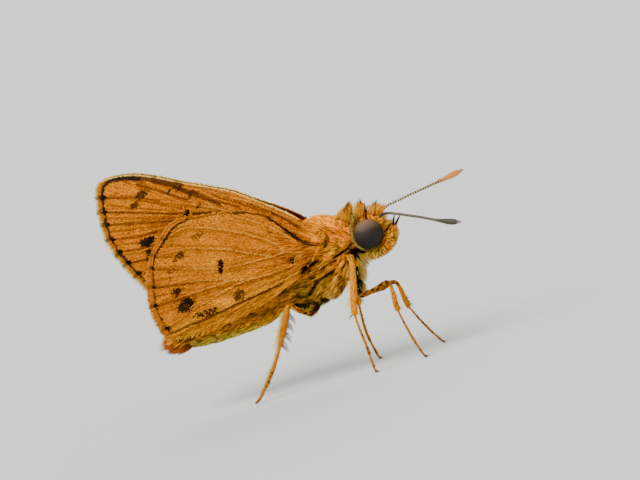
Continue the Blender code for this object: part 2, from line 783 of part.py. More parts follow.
def build_abdomen():
    abdomen = trunk_length("abdomen_core", ABDOMEN_FRONT_X, ABDOMEN_TIP_X)
    locks = []
    for i in range(TAIL_LOCKS):
        angle = 2 * math.pi * i / TAIL_LOCKS
        y, z = math.sin(angle), math.cos(angle)
        root = (TAIL_ROOT_X, TAIL_ROOT_SPREAD * y, TAIL_CENTRE_Z + TAIL_ROOT_SPREAD * z)
        bend = (TAIL_BEND_X, TAIL_BEND_SPREAD * y, TAIL_CENTRE_Z + TAIL_BEND_SPREAD * z)
        tip_x = TAIL_TIP_X + TAIL_TIP_STEP * (i % 3)
        tip = (tip_x, TAIL_TIP_SPREAD * y, TAIL_CENTRE_Z + TAIL_TIP_SPREAD * z)
        locks.append(lock(f"tail_lock_{i}", root, bend, tip, TAIL_LOCK_HALF_WIDTH))
    combine(abdomen, locks, "UNION")
    finish(abdomen, "abdomen", "abdomen")


def build_wings():
    for side_name, side in SIDES.items():
        forewing = wing("forewing", FOREWING_OUTLINE, FOREWING_VEINS, forewing_y, side)
        finish(forewing, "forewing_" + side_name, "forewing")
        hindwing = wing("hindwing", HINDWING_OUTLINE, HINDWING_VEINS, hindwing_y, side)
        finish(hindwing, "hindwing_" + side_name, "hindwing")


def leg_whole(leg):
    """The whole leg as one tube, cut off flat at the floor."""
    knots = [Vector(knot) for knot in LEGS[leg]]
    path = smooth_path(knots, LEG_STEP)
    whole = tube(leg, [point.xyz for point in path], [point.w for point in path])
    trim(whole, (0, 0, 0), (0, 0, -1))
    return whole


def spurs(leg, places):
    """Pairs of spurs that point down along the shin."""
    knots = [Vector(knot).xyz for knot in LEGS[leg]]
    grown = []
    for i, share in places:
        along = (knots[i + 1] - knots[i]).normalized()
        start = between(knots[i], knots[i + 1], share)
        for turn in (-1, 1):
            tip = start + (along + SPUR_SPREAD * turn).normalized() * SPUR_LENGTH
            middle = between(start, tip, 0.5)
            grown.append(tube(f"{leg}_spur_{i}_{turn}", (start, middle, tip), SPUR_RADII, 0))
    return grown


def build_leg(leg):
    """Parts the whole leg at its joints by thin cuts, and clears it of the trunk."""
    pair, side_name = leg.split("_")
    knots = [Vector(knot).xyz for knot in LEGS[leg]]
    before = None
    for part, joint in LEG_PARTS[pair]:
        piece = leg_whole(leg)
        if joint is None and pair in SPURS:
            combine(piece, spurs(leg, SPURS[pair]), "UNION")
        for end, facing in ((before, -1), (joint, 1)):
            if end is None:
                continue
            along_in = (knots[end] - knots[end - 1]).normalized()
            along_out = (knots[end + 1] - knots[end]).normalized()
            normal = (along_in + along_out).normalized() * facing
            trim(piece, knots[end] - normal * GAP / 2, normal)
            keep_largest(piece)
        if before is None:
            room = trunk_length(leg + "_room", COLLAR_FRONT_X, ABDOMEN_TIP_X, GAP)
            combine(piece, [room], "DIFFERENCE")
        finish(piece, f"{leg}_{part}", pair)
        before = joint


def to_metres():
    """Scales the model to metres and puts its origin on the floor under the middle of its box."""
    corners = []
    for obj in PARTS.objects:
        corners += [vert.co.copy() for vert in obj.data.vertices]
    low_x, high_x = min(c.x for c in corners), max(c.x for c in corners)
    low_y, high_y = min(c.y for c in corners), max(c.y for c in corners)
    shift = Vector((-(low_x + high_x) / 2, -(low_y + high_y) / 2, 0.0))
    place = Matrix.Scale(MM, 4) @ Matrix.Translation(shift)
    for obj in PARTS.objects:
        obj.data.transform(place)


clear_scene()
PARTS = new_collection("common_dartlet")
WORK = new_collection("pieces_in_work")
build_head()
build_face_parts()
build_collar()
build_thorax()
build_abdomen()
build_wings()
for leg_name in LEGS:
    build_leg(leg_name)
to_metres()
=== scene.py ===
import math

import bmesh
import bpy
import numpy as np
from mathutils import Matrix, Vector
from mathutils.geometry import delaunay_2d_cdt
from mathutils.kdtree import KDTree


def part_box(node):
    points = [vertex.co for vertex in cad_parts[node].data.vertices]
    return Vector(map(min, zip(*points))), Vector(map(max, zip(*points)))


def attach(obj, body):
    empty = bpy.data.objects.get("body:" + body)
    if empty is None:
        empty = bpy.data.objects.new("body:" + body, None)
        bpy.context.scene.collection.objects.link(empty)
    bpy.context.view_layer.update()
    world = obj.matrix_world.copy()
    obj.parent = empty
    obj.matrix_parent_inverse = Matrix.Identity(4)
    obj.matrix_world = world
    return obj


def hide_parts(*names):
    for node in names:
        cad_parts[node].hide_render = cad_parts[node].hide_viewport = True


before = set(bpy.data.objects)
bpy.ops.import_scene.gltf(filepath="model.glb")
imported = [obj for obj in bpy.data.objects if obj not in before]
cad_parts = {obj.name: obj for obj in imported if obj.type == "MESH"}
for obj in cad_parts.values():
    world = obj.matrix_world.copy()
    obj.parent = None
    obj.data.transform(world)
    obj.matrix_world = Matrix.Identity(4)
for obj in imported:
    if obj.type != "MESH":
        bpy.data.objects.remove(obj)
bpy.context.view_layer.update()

# The place of the animal: every size below is in millimetres from the floor under its thorax,
# with +X towards the head, +Y to its left and +Z up. The eyes of the solids say where that
# point lies in the model.
MM = 0.001
EYE_CENTRE = (2.88, 0.75, 7.56)
SIDES = {"right": -1, "left": 1}
eye_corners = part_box("eye_right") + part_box("eye_left")
eyes_middle = sum(eye_corners, Vector()) / len(eye_corners)
PLACE = Matrix.Translation((eyes_middle.x - EYE_CENTRE[0] * MM, eyes_middle.y, 0.0))
PLACE = PLACE @ Matrix.Scale(MM, 4)

# The skin: the soft hide and horny shell under the coat, in one mesh from the face to the last joint
# of each foot. The trunk, head, palps and upper legs are grown whole as one closed piece, the shins, feet
# and palps' tips are tubes of their own, and it lies under the solids' surface by the depth of the fur or
# scales that cover it.
TRUNK = (  # x, lowest z, highest z, half width, depth of the coat
    (2.3, 6.75, 8.6, 0.58, 0.1),
    (1.75, 6.45, 8.95, 0.85, 0.25),
    (1.2, 6.05, 9.15, 1.15, 0.3),
    (0.6, 5.15, 9.35, 1.4, 0.3),
    (0.0, 4.6, 9.4, 1.5, 0.3),
    (-0.7, 4.25, 9.2, 1.45, 0.3),
    (-1.4, 4.35, 8.6, 1.25, 0.25),
    (-2.0, 4.6, 7.6, 1.05, 0.2),
    (-2.6, 4.5, 6.8, 0.95, 0.14),
    (-4.0, 3.97, 6.1, 0.95, 0.1),
    (-6.0, 3.72, 5.75, 0.95, 0.1),
    (-8.0, 3.7, 5.4, 0.85, 0.1),
    (-9.0, 3.9, 5.1, 0.6, 0.12),
    (-9.7, 4.2, 4.75, 0.3, 0.12),
)
HEAD_BALLS = (  # centre, radii
    ((2.92, 0.0, 7.72), (0.98, 0.86, 0.96)),
    ((3.5, 0.0, 7.6), (0.6, 0.56, 0.66)),
    ((2.95, 0.0, 6.98), (0.75, 0.5, 0.42)),
    ((3.62, 0.6, 8.12), (0.2, 0.18, 0.2)),
    ((3.62, -0.6, 8.12), (0.2, 0.18, 0.2)),
    ((0.25, 1.1, 8.0), (0.42, 0.24, 0.45)),
    ((0.25, -1.1, 8.0), (0.42, 0.24, 0.45)),
)
PALP_Y = 0.5
PALP_PATH = ((2.75, 6.45, 0.14), (3.3, 6.58, 0.22), (3.85, 6.86, 0.24), (4.15, 7.22, 0.2), (4.27, 7.5, 0.13))
LEGS = {
    "foreleg_right": (
        (1.62, -0.55, 6.6), (1.5, -0.68, 5.6), (1.45, -0.75, 4.35), (2.4, -1.0, 4.42), (3.3, -1.2, 4.6),
        (3.38, -1.45, 3.1), (3.75, -1.7, 1.4), (4.14, -1.8, 0.24), (4.32, -1.82, 0.08),
    ),
    "foreleg_left": (
        (1.62, 0.55, 6.6), (1.55, 0.7, 5.6), (1.6, 0.8, 4.3), (2.6, 1.1, 4.15), (3.5, 1.4, 4.2),
        (3.8, 1.75, 2.68), (4.5, 2.05, 1.15), (5.05, 2.16, 0.25), (5.23, 2.2, 0.08),
    ),
    "midleg_right": (
        (0.0, -0.6, 5.0), (0.45, -1.5, 5.1), (1.15, -2.3, 6.0), (1.72, -2.85, 6.75),
        (1.5, -3.0, 5.4), (1.1, -3.1, 3.66), (1.24, -2.95, 1.67), (1.32, -2.77, 0.25), (1.44, -2.74, 0.08),
    ),
    "midleg_left": (
        (0.0, 0.6, 5.0), (0.35, 1.5, 5.0), (0.95, 2.3, 5.7), (1.45, 2.9, 6.4),
        (1.25, 3.05, 5.1), (0.98, 3.05, 3.47), (0.95, 2.9, 1.7), (1.26, 2.71, 0.25), (1.4, 2.67, 0.08),
    ),
    "hindleg_right": (
        (-0.85, -0.4, 4.7), (-1.38, -0.85, 4.08), (-2.0, -1.3, 4.38), (-2.6, -1.62, 4.84),
        (-3.05, -1.85, 3.9), (-3.6, -2.0, 2.85), (-4.3, -2.15, 1.68), (-5.1, -2.3, 0.7),
        (-5.5, -2.35, 0.24), (-5.76, -2.38, 0.08),
    ),
    "hindleg_left": (
        (-0.85, 0.4, 4.7), (-1.38, 0.85, 4.08), (-2.05, 1.35, 4.3), (-2.75, 1.7, 4.65),
        (-3.15, 1.9, 3.9), (-3.71, 2.05, 2.85), (-4.4, 2.2, 1.68), (-5.1, 2.35, 0.7),
        (-5.4, 2.38, 0.24), (-5.66, 2.4, 0.08),
    ),
}
# Radius along each pair's centre line, by the number of the knot: hip, knee, shin and foot.
LEG_RADII = {
    "foreleg": (
        (0, 0.2), (1, 0.24), (1.8, 0.17), (2, 0.1), (2.3, 0.1), (3, 0.12), (3.8, 0.09), (4, 0.07),
        (4.25, 0.08), (4.75, 0.125), (4.97, 0.12), (5.03, 0.06), (8, 0.045),
    ),
    "midleg": (
        (0, 0.25), (1, 0.28), (2, 0.26), (2.8, 0.17), (3, 0.08), (3.15, 0.12), (4.2, 0.175), (4.95, 0.15),
        (5.03, 0.07), (8, 0.05),
    ),
    "hindleg": (
        (0, 0.22), (1, 0.14), (2, 0.11), (2.8, 0.08), (3, 0.06), (3.3, 0.09), (4.2, 0.125), (4.95, 0.11),
        (5.04, 0.08), (6, 0.085), (9, 0.05),
    ),
}
HIPS = {"foreleg": 0.3, "midleg": 1.0, "hindleg": 1.0}
KNEES = {"foreleg": 4, "midleg": 3, "hindleg": 3}
ANKLE = 5
FOOT_JOINTS = (0.0, 0.44, 0.62, 0.76, 0.87, 1.0)
SKIN_VOXEL = 0.05
PALP_NEEDLE = ((4.26, 7.38, 0.1), (4.36, 7.65, 0.075), (4.47, 7.95, 0.06), (4.62, 8.27, 0.02))
NEEDLE_FOOT = 7.3
NEEDLE_LEAN = {-1: 0.0, 1: 0.24}  # by side
RING_POINTS = 40
ABDOMEN_START = 2.3
SEGMENT_LENGTH = 0.95
SEGMENT_SWELL = 0.02
KNEE_OVERLAP = 0.06


def smooth_path(knots, step):
    """Points about a step apart on a smooth curve through the knots."""
    knots = np.array(knots, float)
    ends = np.vstack([2 * knots[0] - knots[1], knots, 2 * knots[-1] - knots[-2]])
    path = []
    for before, a, b, after in zip(ends, ends[1:], ends[2:], ends[3:]):
        pieces = max(1, round(np.linalg.norm((b - a)[:3]) / step))
        t = (np.arange(pieces) / pieces)[:, None]
        bend = (2 * before - 5 * a + 4 * b - after) * t**2 + (3 * a - before - 3 * b + after) * t**3
        path.append(0.5 * (2 * a + (b - before) * t + bend))
    path.append(knots[-1:])
    return np.vstack(path)


def unit(vectors):
    return vectors / np.maximum(np.linalg.norm(vectors, axis=-1, keepdims=True), 1e-9)


def lofted(rings):
    """Points and faces of a closed body through rings that turn the same way along it."""
    count = len(rings[0])
    faces = [list(range(count))[::-1]]
    for i in range(len(rings) - 1):
        for k in range(count):
            j = (k + 1) % count
            faces.append([i * count + k, i * count + j, (i + 1) * count + j, (i + 1) * count + k])
    faces.append([(len(rings) - 1) * count + k for k in range(count)])
    return np.vstack(rings), faces


def tube(path, radii, sides):
    """A closed tube along a path, carried along it without a twist."""
    along = unit(np.gradient(path, axis=0))
    side = np.cross(along[0], (0.3, 1.0, 0.2))
    angles = np.arange(sides)[:, None] * 2 * math.pi / sides
    rings = []
    for centre, direction, radius in zip(path, along, radii):
        side = unit(side - direction * side.dot(direction))
        rings.append(centre + radius * (np.cos(angles) * side + np.sin(angles) * np.cross(direction, side)))
    return lofted(rings)


def ball(centre, radii):
    bm = bmesh.new()
    bmesh.ops.create_icosphere(bm, subdivisions=4, radius=1.0)
    points = np.array([vert.co for vert in bm.verts]) * radii + centre
    faces = [[vert.index for vert in face.verts] for face in bm.faces]
    bm.free()
    return points, faces


def joined(parts):
    points, faces, start = [], [], 0
    for part_points, part_faces in parts:
        points.append(part_points)
        faces += [[i + start for i in face] for face in part_faces]
        start += len(part_points)
    return np.vstack(points), faces


def mesh_from(name, points, faces):
    mesh = bpy.data.meshes.new(name)
    mesh.from_pydata(points.tolist(), [], faces)
    mesh.update()
    return mesh


def shown(name, mesh):
    obj = bpy.data.objects.new(name, mesh)
    bpy.context.scene.collection.objects.link(obj)
    return obj


def made_plain(obj):
    """The mesh that an object's modifiers make. The object itself is removed."""
    bpy.context.view_layer.update()
    mesh = bpy.data.meshes.new_from_object(obj.evaluated_get(bpy.context.evaluated_depsgraph_get()))
    bpy.data.objects.remove(obj, do_unlink=True)
    return mesh


def trunk_rings():
    """Oval rings along the trunk, each segment of the abdomen a little fuller at its rear."""
    rings = []
    turn = np.arange(RING_POINTS) * 2 * math.pi / RING_POINTS
    for x, low, high, half, depth in smooth_path(TRUNK, 0.08):
        behind = -x - ABDOMEN_START
        swell = SEGMENT_SWELL * (behind / SEGMENT_LENGTH % 1) if behind > 0 else 0.0
        height = (high - low) / 2 - depth + swell
        width = half - depth + swell
        ring = np.full((len(turn), 3), x)
        ring[:, 1] = -width * np.sin(turn)
        ring[:, 2] = (low + high) / 2 + height * np.cos(turn)
        rings.append(ring)
    return rings


def pair_of(leg):
    return leg.split("_")[0]


def leg_line(leg):
    """The leg's centre line, its radius along it with the foot's five joints, and the knots' numbers."""
    knots = LEGS[leg]
    path = smooth_path([(*knot, i) for i, knot in enumerate(knots)], 0.05)
    place = path[:, 3]
    radii = np.interp(place, *np.transpose(LEG_RADII[pair_of(leg)]))
    share = (place - ANKLE) / (len(knots) - 1 - ANKLE)
    joint = np.clip(np.searchsorted(FOOT_JOINTS, share, side="right") - 1, 0, 4)
    starts, ends = np.array(FOOT_JOINTS)[joint], np.array(FOOT_JOINTS)[joint + 1]
    flare = 0.8 + 0.45 * np.clip((share - starts) / (ends - starts), 0, 1) ** 1.5
    return path[:, :3], np.where(share > 0, radii * flare, radii), place


body_parts = [lofted(trunk_rings())] + [ball(centre, radii) for centre, radii in HEAD_BALLS]
leg_tubes = []
needles = []
for side in SIDES.values():
    palp = smooth_path([(x, side * PALP_Y, z, r) for x, z, r in PALP_PATH], 0.05)
    body_parts.append(tube(palp[:, :3], palp[:, 3], 16))
    needle = []
    for x, z, radius in PALP_NEEDLE:
        shift = NEEDLE_LEAN[side] * (z - NEEDLE_FOOT)
        needle.append((x + shift, side * (PALP_Y - 0.04), z - shift, radius))
    needle = smooth_path(needle, 0.04)
    needles.append(tube(needle[:, :3], needle[:, 3], 10))
leg_lines = {leg: leg_line(leg) for leg in LEGS}
for leg, (path, radii, place) in leg_lines.items():
    knee = KNEES[pair_of(leg)]
    upper, lower = place < knee + KNEE_OVERLAP, place > knee - KNEE_OVERLAP
    body_parts.append(tube(path[upper], radii[upper], 16))
    leg_tubes.append(tube(path[lower], radii[lower], 14))
rough = shown("skin_in_work", mesh_from("skin_in_work", *joined(body_parts)))
remesh = rough.modifiers.new("Whole", "REMESH")
remesh.mode = "VOXEL"
remesh.voxel_size = SKIN_VOXEL
relax = rough.modifiers.new("Relax", "SMOOTH")
relax.factor = 0.5
relax.iterations = 3
body_mesh = made_plain(rough)


def mesh_arrays(mesh):
    """Points, triangles and point normals."""
    mesh.calc_loop_triangles()
    arrays = []
    fields = ((mesh.vertices, "co"), (mesh.loop_triangles, "vertices"), (mesh.vertex_normals, "vector"))
    for items, field in fields:
        values = np.zeros(len(items) * 3, int if field == "vertices" else float)
        items.foreach_get(field, values)
        arrays.append(values.reshape(-1, 3))
    return arrays


def linear(hex_colour):
    """Linear red, green and blue of an sRGB hex colour."""
    values = [int(hex_colour[i:i + 2], 16) / 255 for i in (1, 3, 5)]
    return np.array([v / 12.92 if v <= 0.04045 else ((v + 0.055) / 1.055) ** 2.4 for v in values])


def eased(values):
    values = np.clip(values, 0, 1)
    return values * values * (3 - 2 * values)


def mottle(points, size, seed):
    """Soft random values from 0 to 1 that change over about the given size."""
    table = np.random.default_rng(seed).random((32, 32, 32))
    cell = points / np.array(size)
    base = np.floor(cell).astype(int)
    share = eased(cell - base)
    value = np.zeros(len(points))
    for corner in np.ndindex(2, 2, 2):
        weight = np.prod(np.where(corner, share, 1 - share), axis=1)
        index = (base + corner) % 32
        value += weight * table[index[:, 0], index[:, 1], index[:, 2]]
    return value


def reach(points, path):
    """How far each point lies from a line of straight pieces."""
    path = np.array(path, float)
    start, along = path[:-1], path[1:] - path[:-1]
    offset = points[:, None] - start
    share = np.clip((offset * along).sum(-1) / (along**2).sum(-1), 0, 1)
    return np.linalg.norm(offset - share[..., None] * along, axis=-1).min(1)


def painted(colour, amount, hex_colour):
    return colour + (linear(hex_colour) - colour) * np.clip(amount, 0, 1)[:, None]


def spot(flat, x, z, length, height, turn):
    """1 inside an oval and 0 outside it, with a soft edge. Its length lies at the turn, in degrees."""
    angle = math.radians(turn)
    dx, dz = flat[:, 0] - x, flat[:, 1] - z
    a = (dx * math.cos(angle) + dz * math.sin(angle)) / (length / 2)
    b = (dz * math.cos(angle) - dx * math.sin(angle)) / (height / 2)
    return 1 - eased(np.hypot(a, b) * 1.8 - 1.0)


# Marks of the trunk and head in side view: centre x and z, length, height, turn, colour, strength.
BODY_SPOTS = (
    (1.0, 8.9, 2.6, 1.0, 0, "#FFB018", 0.6),
    (1.5, 8.2, 0.9, 1.0, 0, "#E88A08", 0.5),
    (0.8, 7.3, 1.9, 0.7, 0, "#F8B418", 0.6),
    (-0.3, 8.55, 0.9, 0.5, 150, "#E0900C", 0.6),
    (0.0, 8.2, 0.7, 0.25, 170, "#FFC030", 0.7),
    (0.3, 6.75, 1.7, 0.5, 15, "#F0A81C", 0.6),
    (-1.25, 6.55, 0.5, 0.45, 60, "#140E04", 1.0),
    (-0.9, 4.3, 1.3, 0.5, 10, "#1A1406", 0.95),
    (0.75, 5.15, 0.85, 0.36, 60, "#3A2008", 0.8),
    (0.3, 5.5, 1.3, 0.6, 200, "#F0A830", 0.7),
    (1.0, 5.7, 0.9, 0.4, 230, "#A86424", 0.6),
    (-1.3, 5.7, 1.3, 0.5, 185, "#F0A630", 0.6),
    (-0.2, 4.75, 1.0, 0.4, 200, "#C4A440", 0.6),
    (1.75, 6.65, 0.75, 0.75, 0, "#120E0A", 1.0),
    (1.5, 5.3, 0.45, 2.3, 5, "#120E0A", 0.95),
    (-4.6, 4.8, 5.4, 0.42, 172, "#7A500C", 0.6),
    (-9.8, 4.4, 1.9, 1.6, 0, "#C45A10", 1.0),
    (2.95, 8.5, 0.3, 0.4, 0, "#3E1414", 0.9),
    (3.9, 8.0, 0.9, 0.9, 0, "#FFB028", 0.7),
    (2.9, 6.5, 1.6, 0.9, 0, "#F0C848", 0.8),
    (2.3, 6.3, 0.8, 0.9, 0, "#E0BC48", 0.8),
    (4.1, 7.0, 0.9, 1.2, 0, "#FFC038", 0.8),
    (2.05, 6.75, 0.6, 0.7, 0, "#120E04", 1.0),
)
# Lines of the trunk and head in side view: path, width, colour, strength. The dark ones are painted shade in
# the furrows and gaps between the parts, behind the head and under the wings' roots; the last is the
# abdomen's own olive streak along its underside.
PAINTED_SHADE_AND_BODY_LINES = (
    (((2.19, 8.88), (2.05, 8.3), (2.0, 7.83), (1.9, 7.3)), 0.15, "#140E04", 1.0),
    (((1.85, 7.25), (1.47, 7.02), (1.09, 6.91), (0.7, 6.8)), 0.14, "#1E1204", 1.0),
    (((1.64, 6.9), (1.32, 6.51), (1.01, 6.11), (0.7, 5.51)), 0.12, "#4A2C08", 0.8),
    (((0.35, 8.5), (0.42, 7.82), (0.35, 7.5)), 0.12, "#3A1E08", 0.9),
    (((-1.54, 9.15), (-1.13, 8.61), (-0.77, 8.2), (-0.25, 7.88), (0.2, 7.72)), 0.12, "#24140A", 0.9),
    (((-0.56, 7.98), (-0.57, 7.44), (-0.76, 7.01)), 0.12, "#3A2008", 0.9),
    (((-0.87, 6.62), (-0.54, 6.81), (-0.16, 6.86)), 0.22, "#140E04", 1.0),
    (((-0.72, 6.7), (-0.68, 6.3), (-0.76, 6.04), (-0.72, 5.69), (-0.91, 5.4),
        (-1.3, 5.09)), 0.24, "#161004", 1.0),
    (((-0.62, 5.8), (-0.19, 5.89), (0.27, 6.04), (0.68, 6.06)), 0.18, "#1A1206", 0.95),
    (((-0.23, 6.4), (0.2, 6.5), (0.72, 6.67)), 0.12, "#2A1A08", 0.85),
    (((-2.74, 5.55), (-2.32, 5.85), (-2.06, 6.05), (-1.75, 6.18)), 0.18, "#241806", 0.95),
    (((-2.1, 5.17), (-1.62, 4.97), (-1.19, 4.61), (-0.9, 4.5)), 0.26, "#1A1406", 0.95),
    (((-1.31, 4.1), (-0.92, 4.23), (-0.43, 4.27), (0.4, 4.62)), 0.14, "#2A2008", 0.8),
    (((0.2, 5.5), (-0.2, 5.2), (-0.6, 5.0)), 0.12, "#3A2808", 0.8),
    (((-1.9, 5.7), (-1.5, 5.6), (-1.1, 5.65)), 0.12, "#3A2808", 0.8),
    (((-2.0, 4.55), (-4.0, 4.28), (-6.0, 4.1), (-8.2, 4.02)), 0.2, "#9A861C", 0.5),
)


def body_tint(points):
    """Linear colours of the trunk, head and hips, with painted shade in the gaps between their parts."""
    x, z = points[:, 0], points[:, 2]
    flat = points[:, (0, 2)] + 0.12 * (mottle(points, (0.5, 0.5, 0.5), 5)[:, None] - 0.5)
    low, high = linear("#DEA234"), linear("#FFA012")
    colour = low + (high - low) * eased((z - 5.4) / 1.4)[:, None]
    belly = eased((-x - 1.8) / 0.8)
    colour = painted(colour, belly, "#D88C10")
    underside = eased((4.4 - 0.02 * (x + 6) - z) / 0.5)
    colour = painted(colour, belly * underside, "#C4A840")
    colour = painted(colour, eased((x - 1.95) / 0.2) * 0.8, "#FF9C10")
    for spot_x, spot_z, length, height, turn, hex_colour, strength in BODY_SPOTS:
        colour = painted(colour, spot(flat, spot_x, spot_z, length, height, turn) * strength, hex_colour)
    # Painted shade: the dark lines darken the furrows and gaps between the parts.
    for path, width, hex_colour, strength in PAINTED_SHADE_AND_BODY_LINES:
        amount = 1 - eased(reach(flat, path) / (width / 2) - 0.5)
        colour = painted(colour, amount * strength, hex_colour)
    return colour * (0.82 + 0.36 * mottle(points, (0.22, 0.22, 0.22), 9))[:, None]


def leg_tint(leg, place, points):
    """Linear colours along a leg: dark hips and thighs with pale flecks in front, orange shins."""
    pair = pair_of(leg)
    fleck = mottle(points, (0.09, 0.09, 0.09), 21)
    colour = np.tile(linear("#F29A0C"), (len(points), 1))
    if pair == "foreleg":
        thigh = 1 - eased((place - 3.9) / 0.4)
        colour = painted(colour, thigh * 0.6, "#A8601C")
        colour = painted(colour, thigh * eased(fleck * 4 - 1.7) * 0.9, "#2A1A10")
        colour = painted(colour, eased((place - 4.0) / 1.2) * 0.5, "#C86A10")
        colour = painted(colour, 1 - eased((place - 1.7) / 0.4), "#14100E")
        colour = painted(colour, (place < 2) * eased(fleck * 6 - 3.9) * 0.8, "#C8C2B4")
    if pair == "hindleg":
        colour = painted(colour, (1 - eased((place - 1.1) / 0.5)) * 0.95, "#1E160E")
        under = eased(mottle(points, (0.3, 0.3, 0.3), 23) * 3 - 1.2)
        colour = painted(colour, (place < 3.1) * under * 0.4, "#5A4010")
        colour = painted(colour, (place < 3.0) * eased(fleck * 5 - 2.4) * 0.95, "#1E140A")
        colour = painted(colour, eased((place - 3.2) / 0.8) * (place < ANKLE) * 0.5, "#B8620C")
    if pair == "midleg":
        colour = painted(colour, eased((place - 2.8) / 0.3) * 0.8, "#FFA60C")
        colour = painted(colour, (1 - eased((place - 1.0) / 1.6)) * 0.7, "#C8901C")
    foot = eased((place - ANKLE) / 0.6)
    colour = painted(colour, foot * 0.5, "#B8701C")
    colour = painted(colour, foot * eased(fleck * 5 - 3.0) * 0.8, "#3A2010")
    end = eased((place - (len(LEGS[leg]) - 2.4)) / 1.2)
    return painted(colour, end * 0.75, "#4A2E18")


def set_colours(mesh, name, colours):
    layer = mesh.attributes.new(name, "FLOAT_COLOR", "POINT")
    layer.data.foreach_set("color", np.hstack([colours, np.ones((len(colours), 1))]).ravel())


def set_values(mesh, name, kind, values):
    """A named value or vector for each point of the mesh."""
    layer = mesh.attributes.new(name, kind, "POINT")
    layer.data.foreach_set("value" if kind == "FLOAT" else "vector", np.asarray(values, float).ravel())


def unwrap(mesh):
    """A place for each corner of the mesh, on an unwrap into islands that don't overlap."""
    obj = shown("unwrap_in_work", mesh)
    bpy.context.view_layer.objects.active = obj
    obj.select_set(True)
    mesh.uv_layers.new(name="unwrap")
    bpy.ops.object.mode_set(mode="EDIT")
    bpy.ops.mesh.select_all(action="SELECT")
    bpy.ops.uv.smart_project(angle_limit=math.radians(66), island_margin=0.002)
    bpy.ops.object.mode_set(mode="OBJECT")
    bpy.data.objects.remove(obj, do_unlink=True)
    places = np.zeros(len(mesh.loops) * 2)
    mesh.uv_layers["unwrap"].data.foreach_get("uv", places)
    return places.reshape(-1, 2)


def tree_of(points):
    tree = KDTree(len(points))
    for i, point in enumerate(points):
        tree.insert(point, i)
    tree.balance()
    return tree


leg_trees = {leg: tree_of(line[0]) for leg, line in leg_lines.items()}


def place_on_leg(leg, points):
    """How far along the leg each point lies, and whether it is on the leg beyond its hip."""
    _, radii, place = leg_lines[leg]
    found = [leg_trees[leg].find(point)[1:] for point in points]
    index = np.array([i for i, _ in found])
    away = np.array([distance for _, distance in found]) - radii[index]
    return place[index], (away < 0.09) & (place[index] > HIPS[pair_of(leg)])


body_points, _, _ = mesh_arrays(body_mesh)
body_faces = [list(face.vertices) for face in body_mesh.polygons]
body_uv = unwrap(body_mesh)
skin_mesh = mesh_from("skin", *joined([(body_points, body_faces), *leg_tubes, *needles]))
skin_tint = body_tint(body_points) * 0.3
shin_tints = []
for leg, (tube_points, _) in zip(LEGS, leg_tubes):
    place, beyond_hip = place_on_leg(leg, body_points)
    skin_tint[beyond_hip] = leg_tint(leg, place[beyond_hip], body_points[beyond_hip]) * 0.8
    place, _ = place_on_leg(leg, tube_points)
    shin_tints.append(leg_tint(leg, place, tube_points) * 0.8)
for needle_points, _ in needles:
    shin_tints.append(np.tile(linear("#1C1613"), (len(needle_points), 1)))
set_colours(skin_mesh, "tint", np.vstack([skin_tint] + shin_tints))


def add_node(tree, kind, links=None, values=None, **properties):
    """Adds a node, sets its properties and its sockets' values, and links its inputs."""
    made = tree.nodes.new(kind)
    for name, value in properties.items():
        setattr(made, name, value)
    for name, value in (values or {}).items():
        made.inputs[name].default_value = value
    for name, socket in (links or {}).items():
        tree.links.new(socket, made.inputs[name])
    return made


def new_material(name, roughness, specular=0.5):
    """A material, its node tree and its shader."""
    made = bpy.data.materials.new(name)
    made.use_nodes = True
    shader = made.node_tree.nodes["Principled BSDF"]
    shader.inputs["Roughness"].default_value = roughness
    shader.inputs["Specular IOR Level"].default_value = specular
    return made, made.node_tree, shader


def grain_of(tree, kind, size, output, **values):
    """A pattern that lies still in the object, with cells of about the size in millimetres."""
    values["Scale"] = 1 / (size * MM)
    place = add_node(tree, "ShaderNodeTexCoord")
    return add_node(tree, kind, {"Vector": place.outputs["Object"]}, values).outputs[output]


def scaled(tree, vector, factor):
    return add_node(tree, "ShaderNodeVectorMath", {0: vector, "Scale": factor}, operation="SCALE").outputs[0]


def use_tint(tree, shader, grain, shades):
    """Colours the surface by the mesh's own tint, made lighter and darker by a grain."""
    tint = add_node(tree, "ShaderNodeAttribute", attribute_name="tint")
    shade = add_node(tree, "ShaderNodeMapRange", {"Value": grain}, shades)
    tree.links.new(scaled(tree, tint.outputs["Color"], shade.outputs[0]), shader.inputs["Base Color"])


def use_ramp(tree, shader, values, lowest, highest, between=()):
    """Colours the surface by values from 0 to 1, between two colours or through more at their places."""
    ramp = add_node(tree, "ShaderNodeValToRGB", {"Fac": values})
    ramp.color_ramp.elements[0].color = (*linear(lowest), 1)
    ramp.color_ramp.elements[1].color = (*linear(highest), 1)
    for place, hex_colour in between:
        ramp.color_ramp.elements.new(place).color = (*linear(hex_colour), 1)
    tree.links.new(ramp.outputs[0], shader.inputs["Base Color"])


def use_relief(tree, shader, grain, strength, depth, invert=False):
    """Bump of a grain, with its depth in millimetres."""
    values = {"Strength": strength, "Distance": depth * MM}
    bump = add_node(tree, "ShaderNodeBump", {"Height": grain}, values, invert=invert)
    tree.links.new(bump.outputs[0], shader.inputs["Normal"])


def in_model(name, mesh, made_of=None):
    """Shows a mesh of the animal in its place in the model, smooth and of one material if given."""
    if made_of:
        mesh.shade_smooth()
        mesh.materials.append(made_of)
    mesh.transform(PLACE)
    return shown(name, mesh)


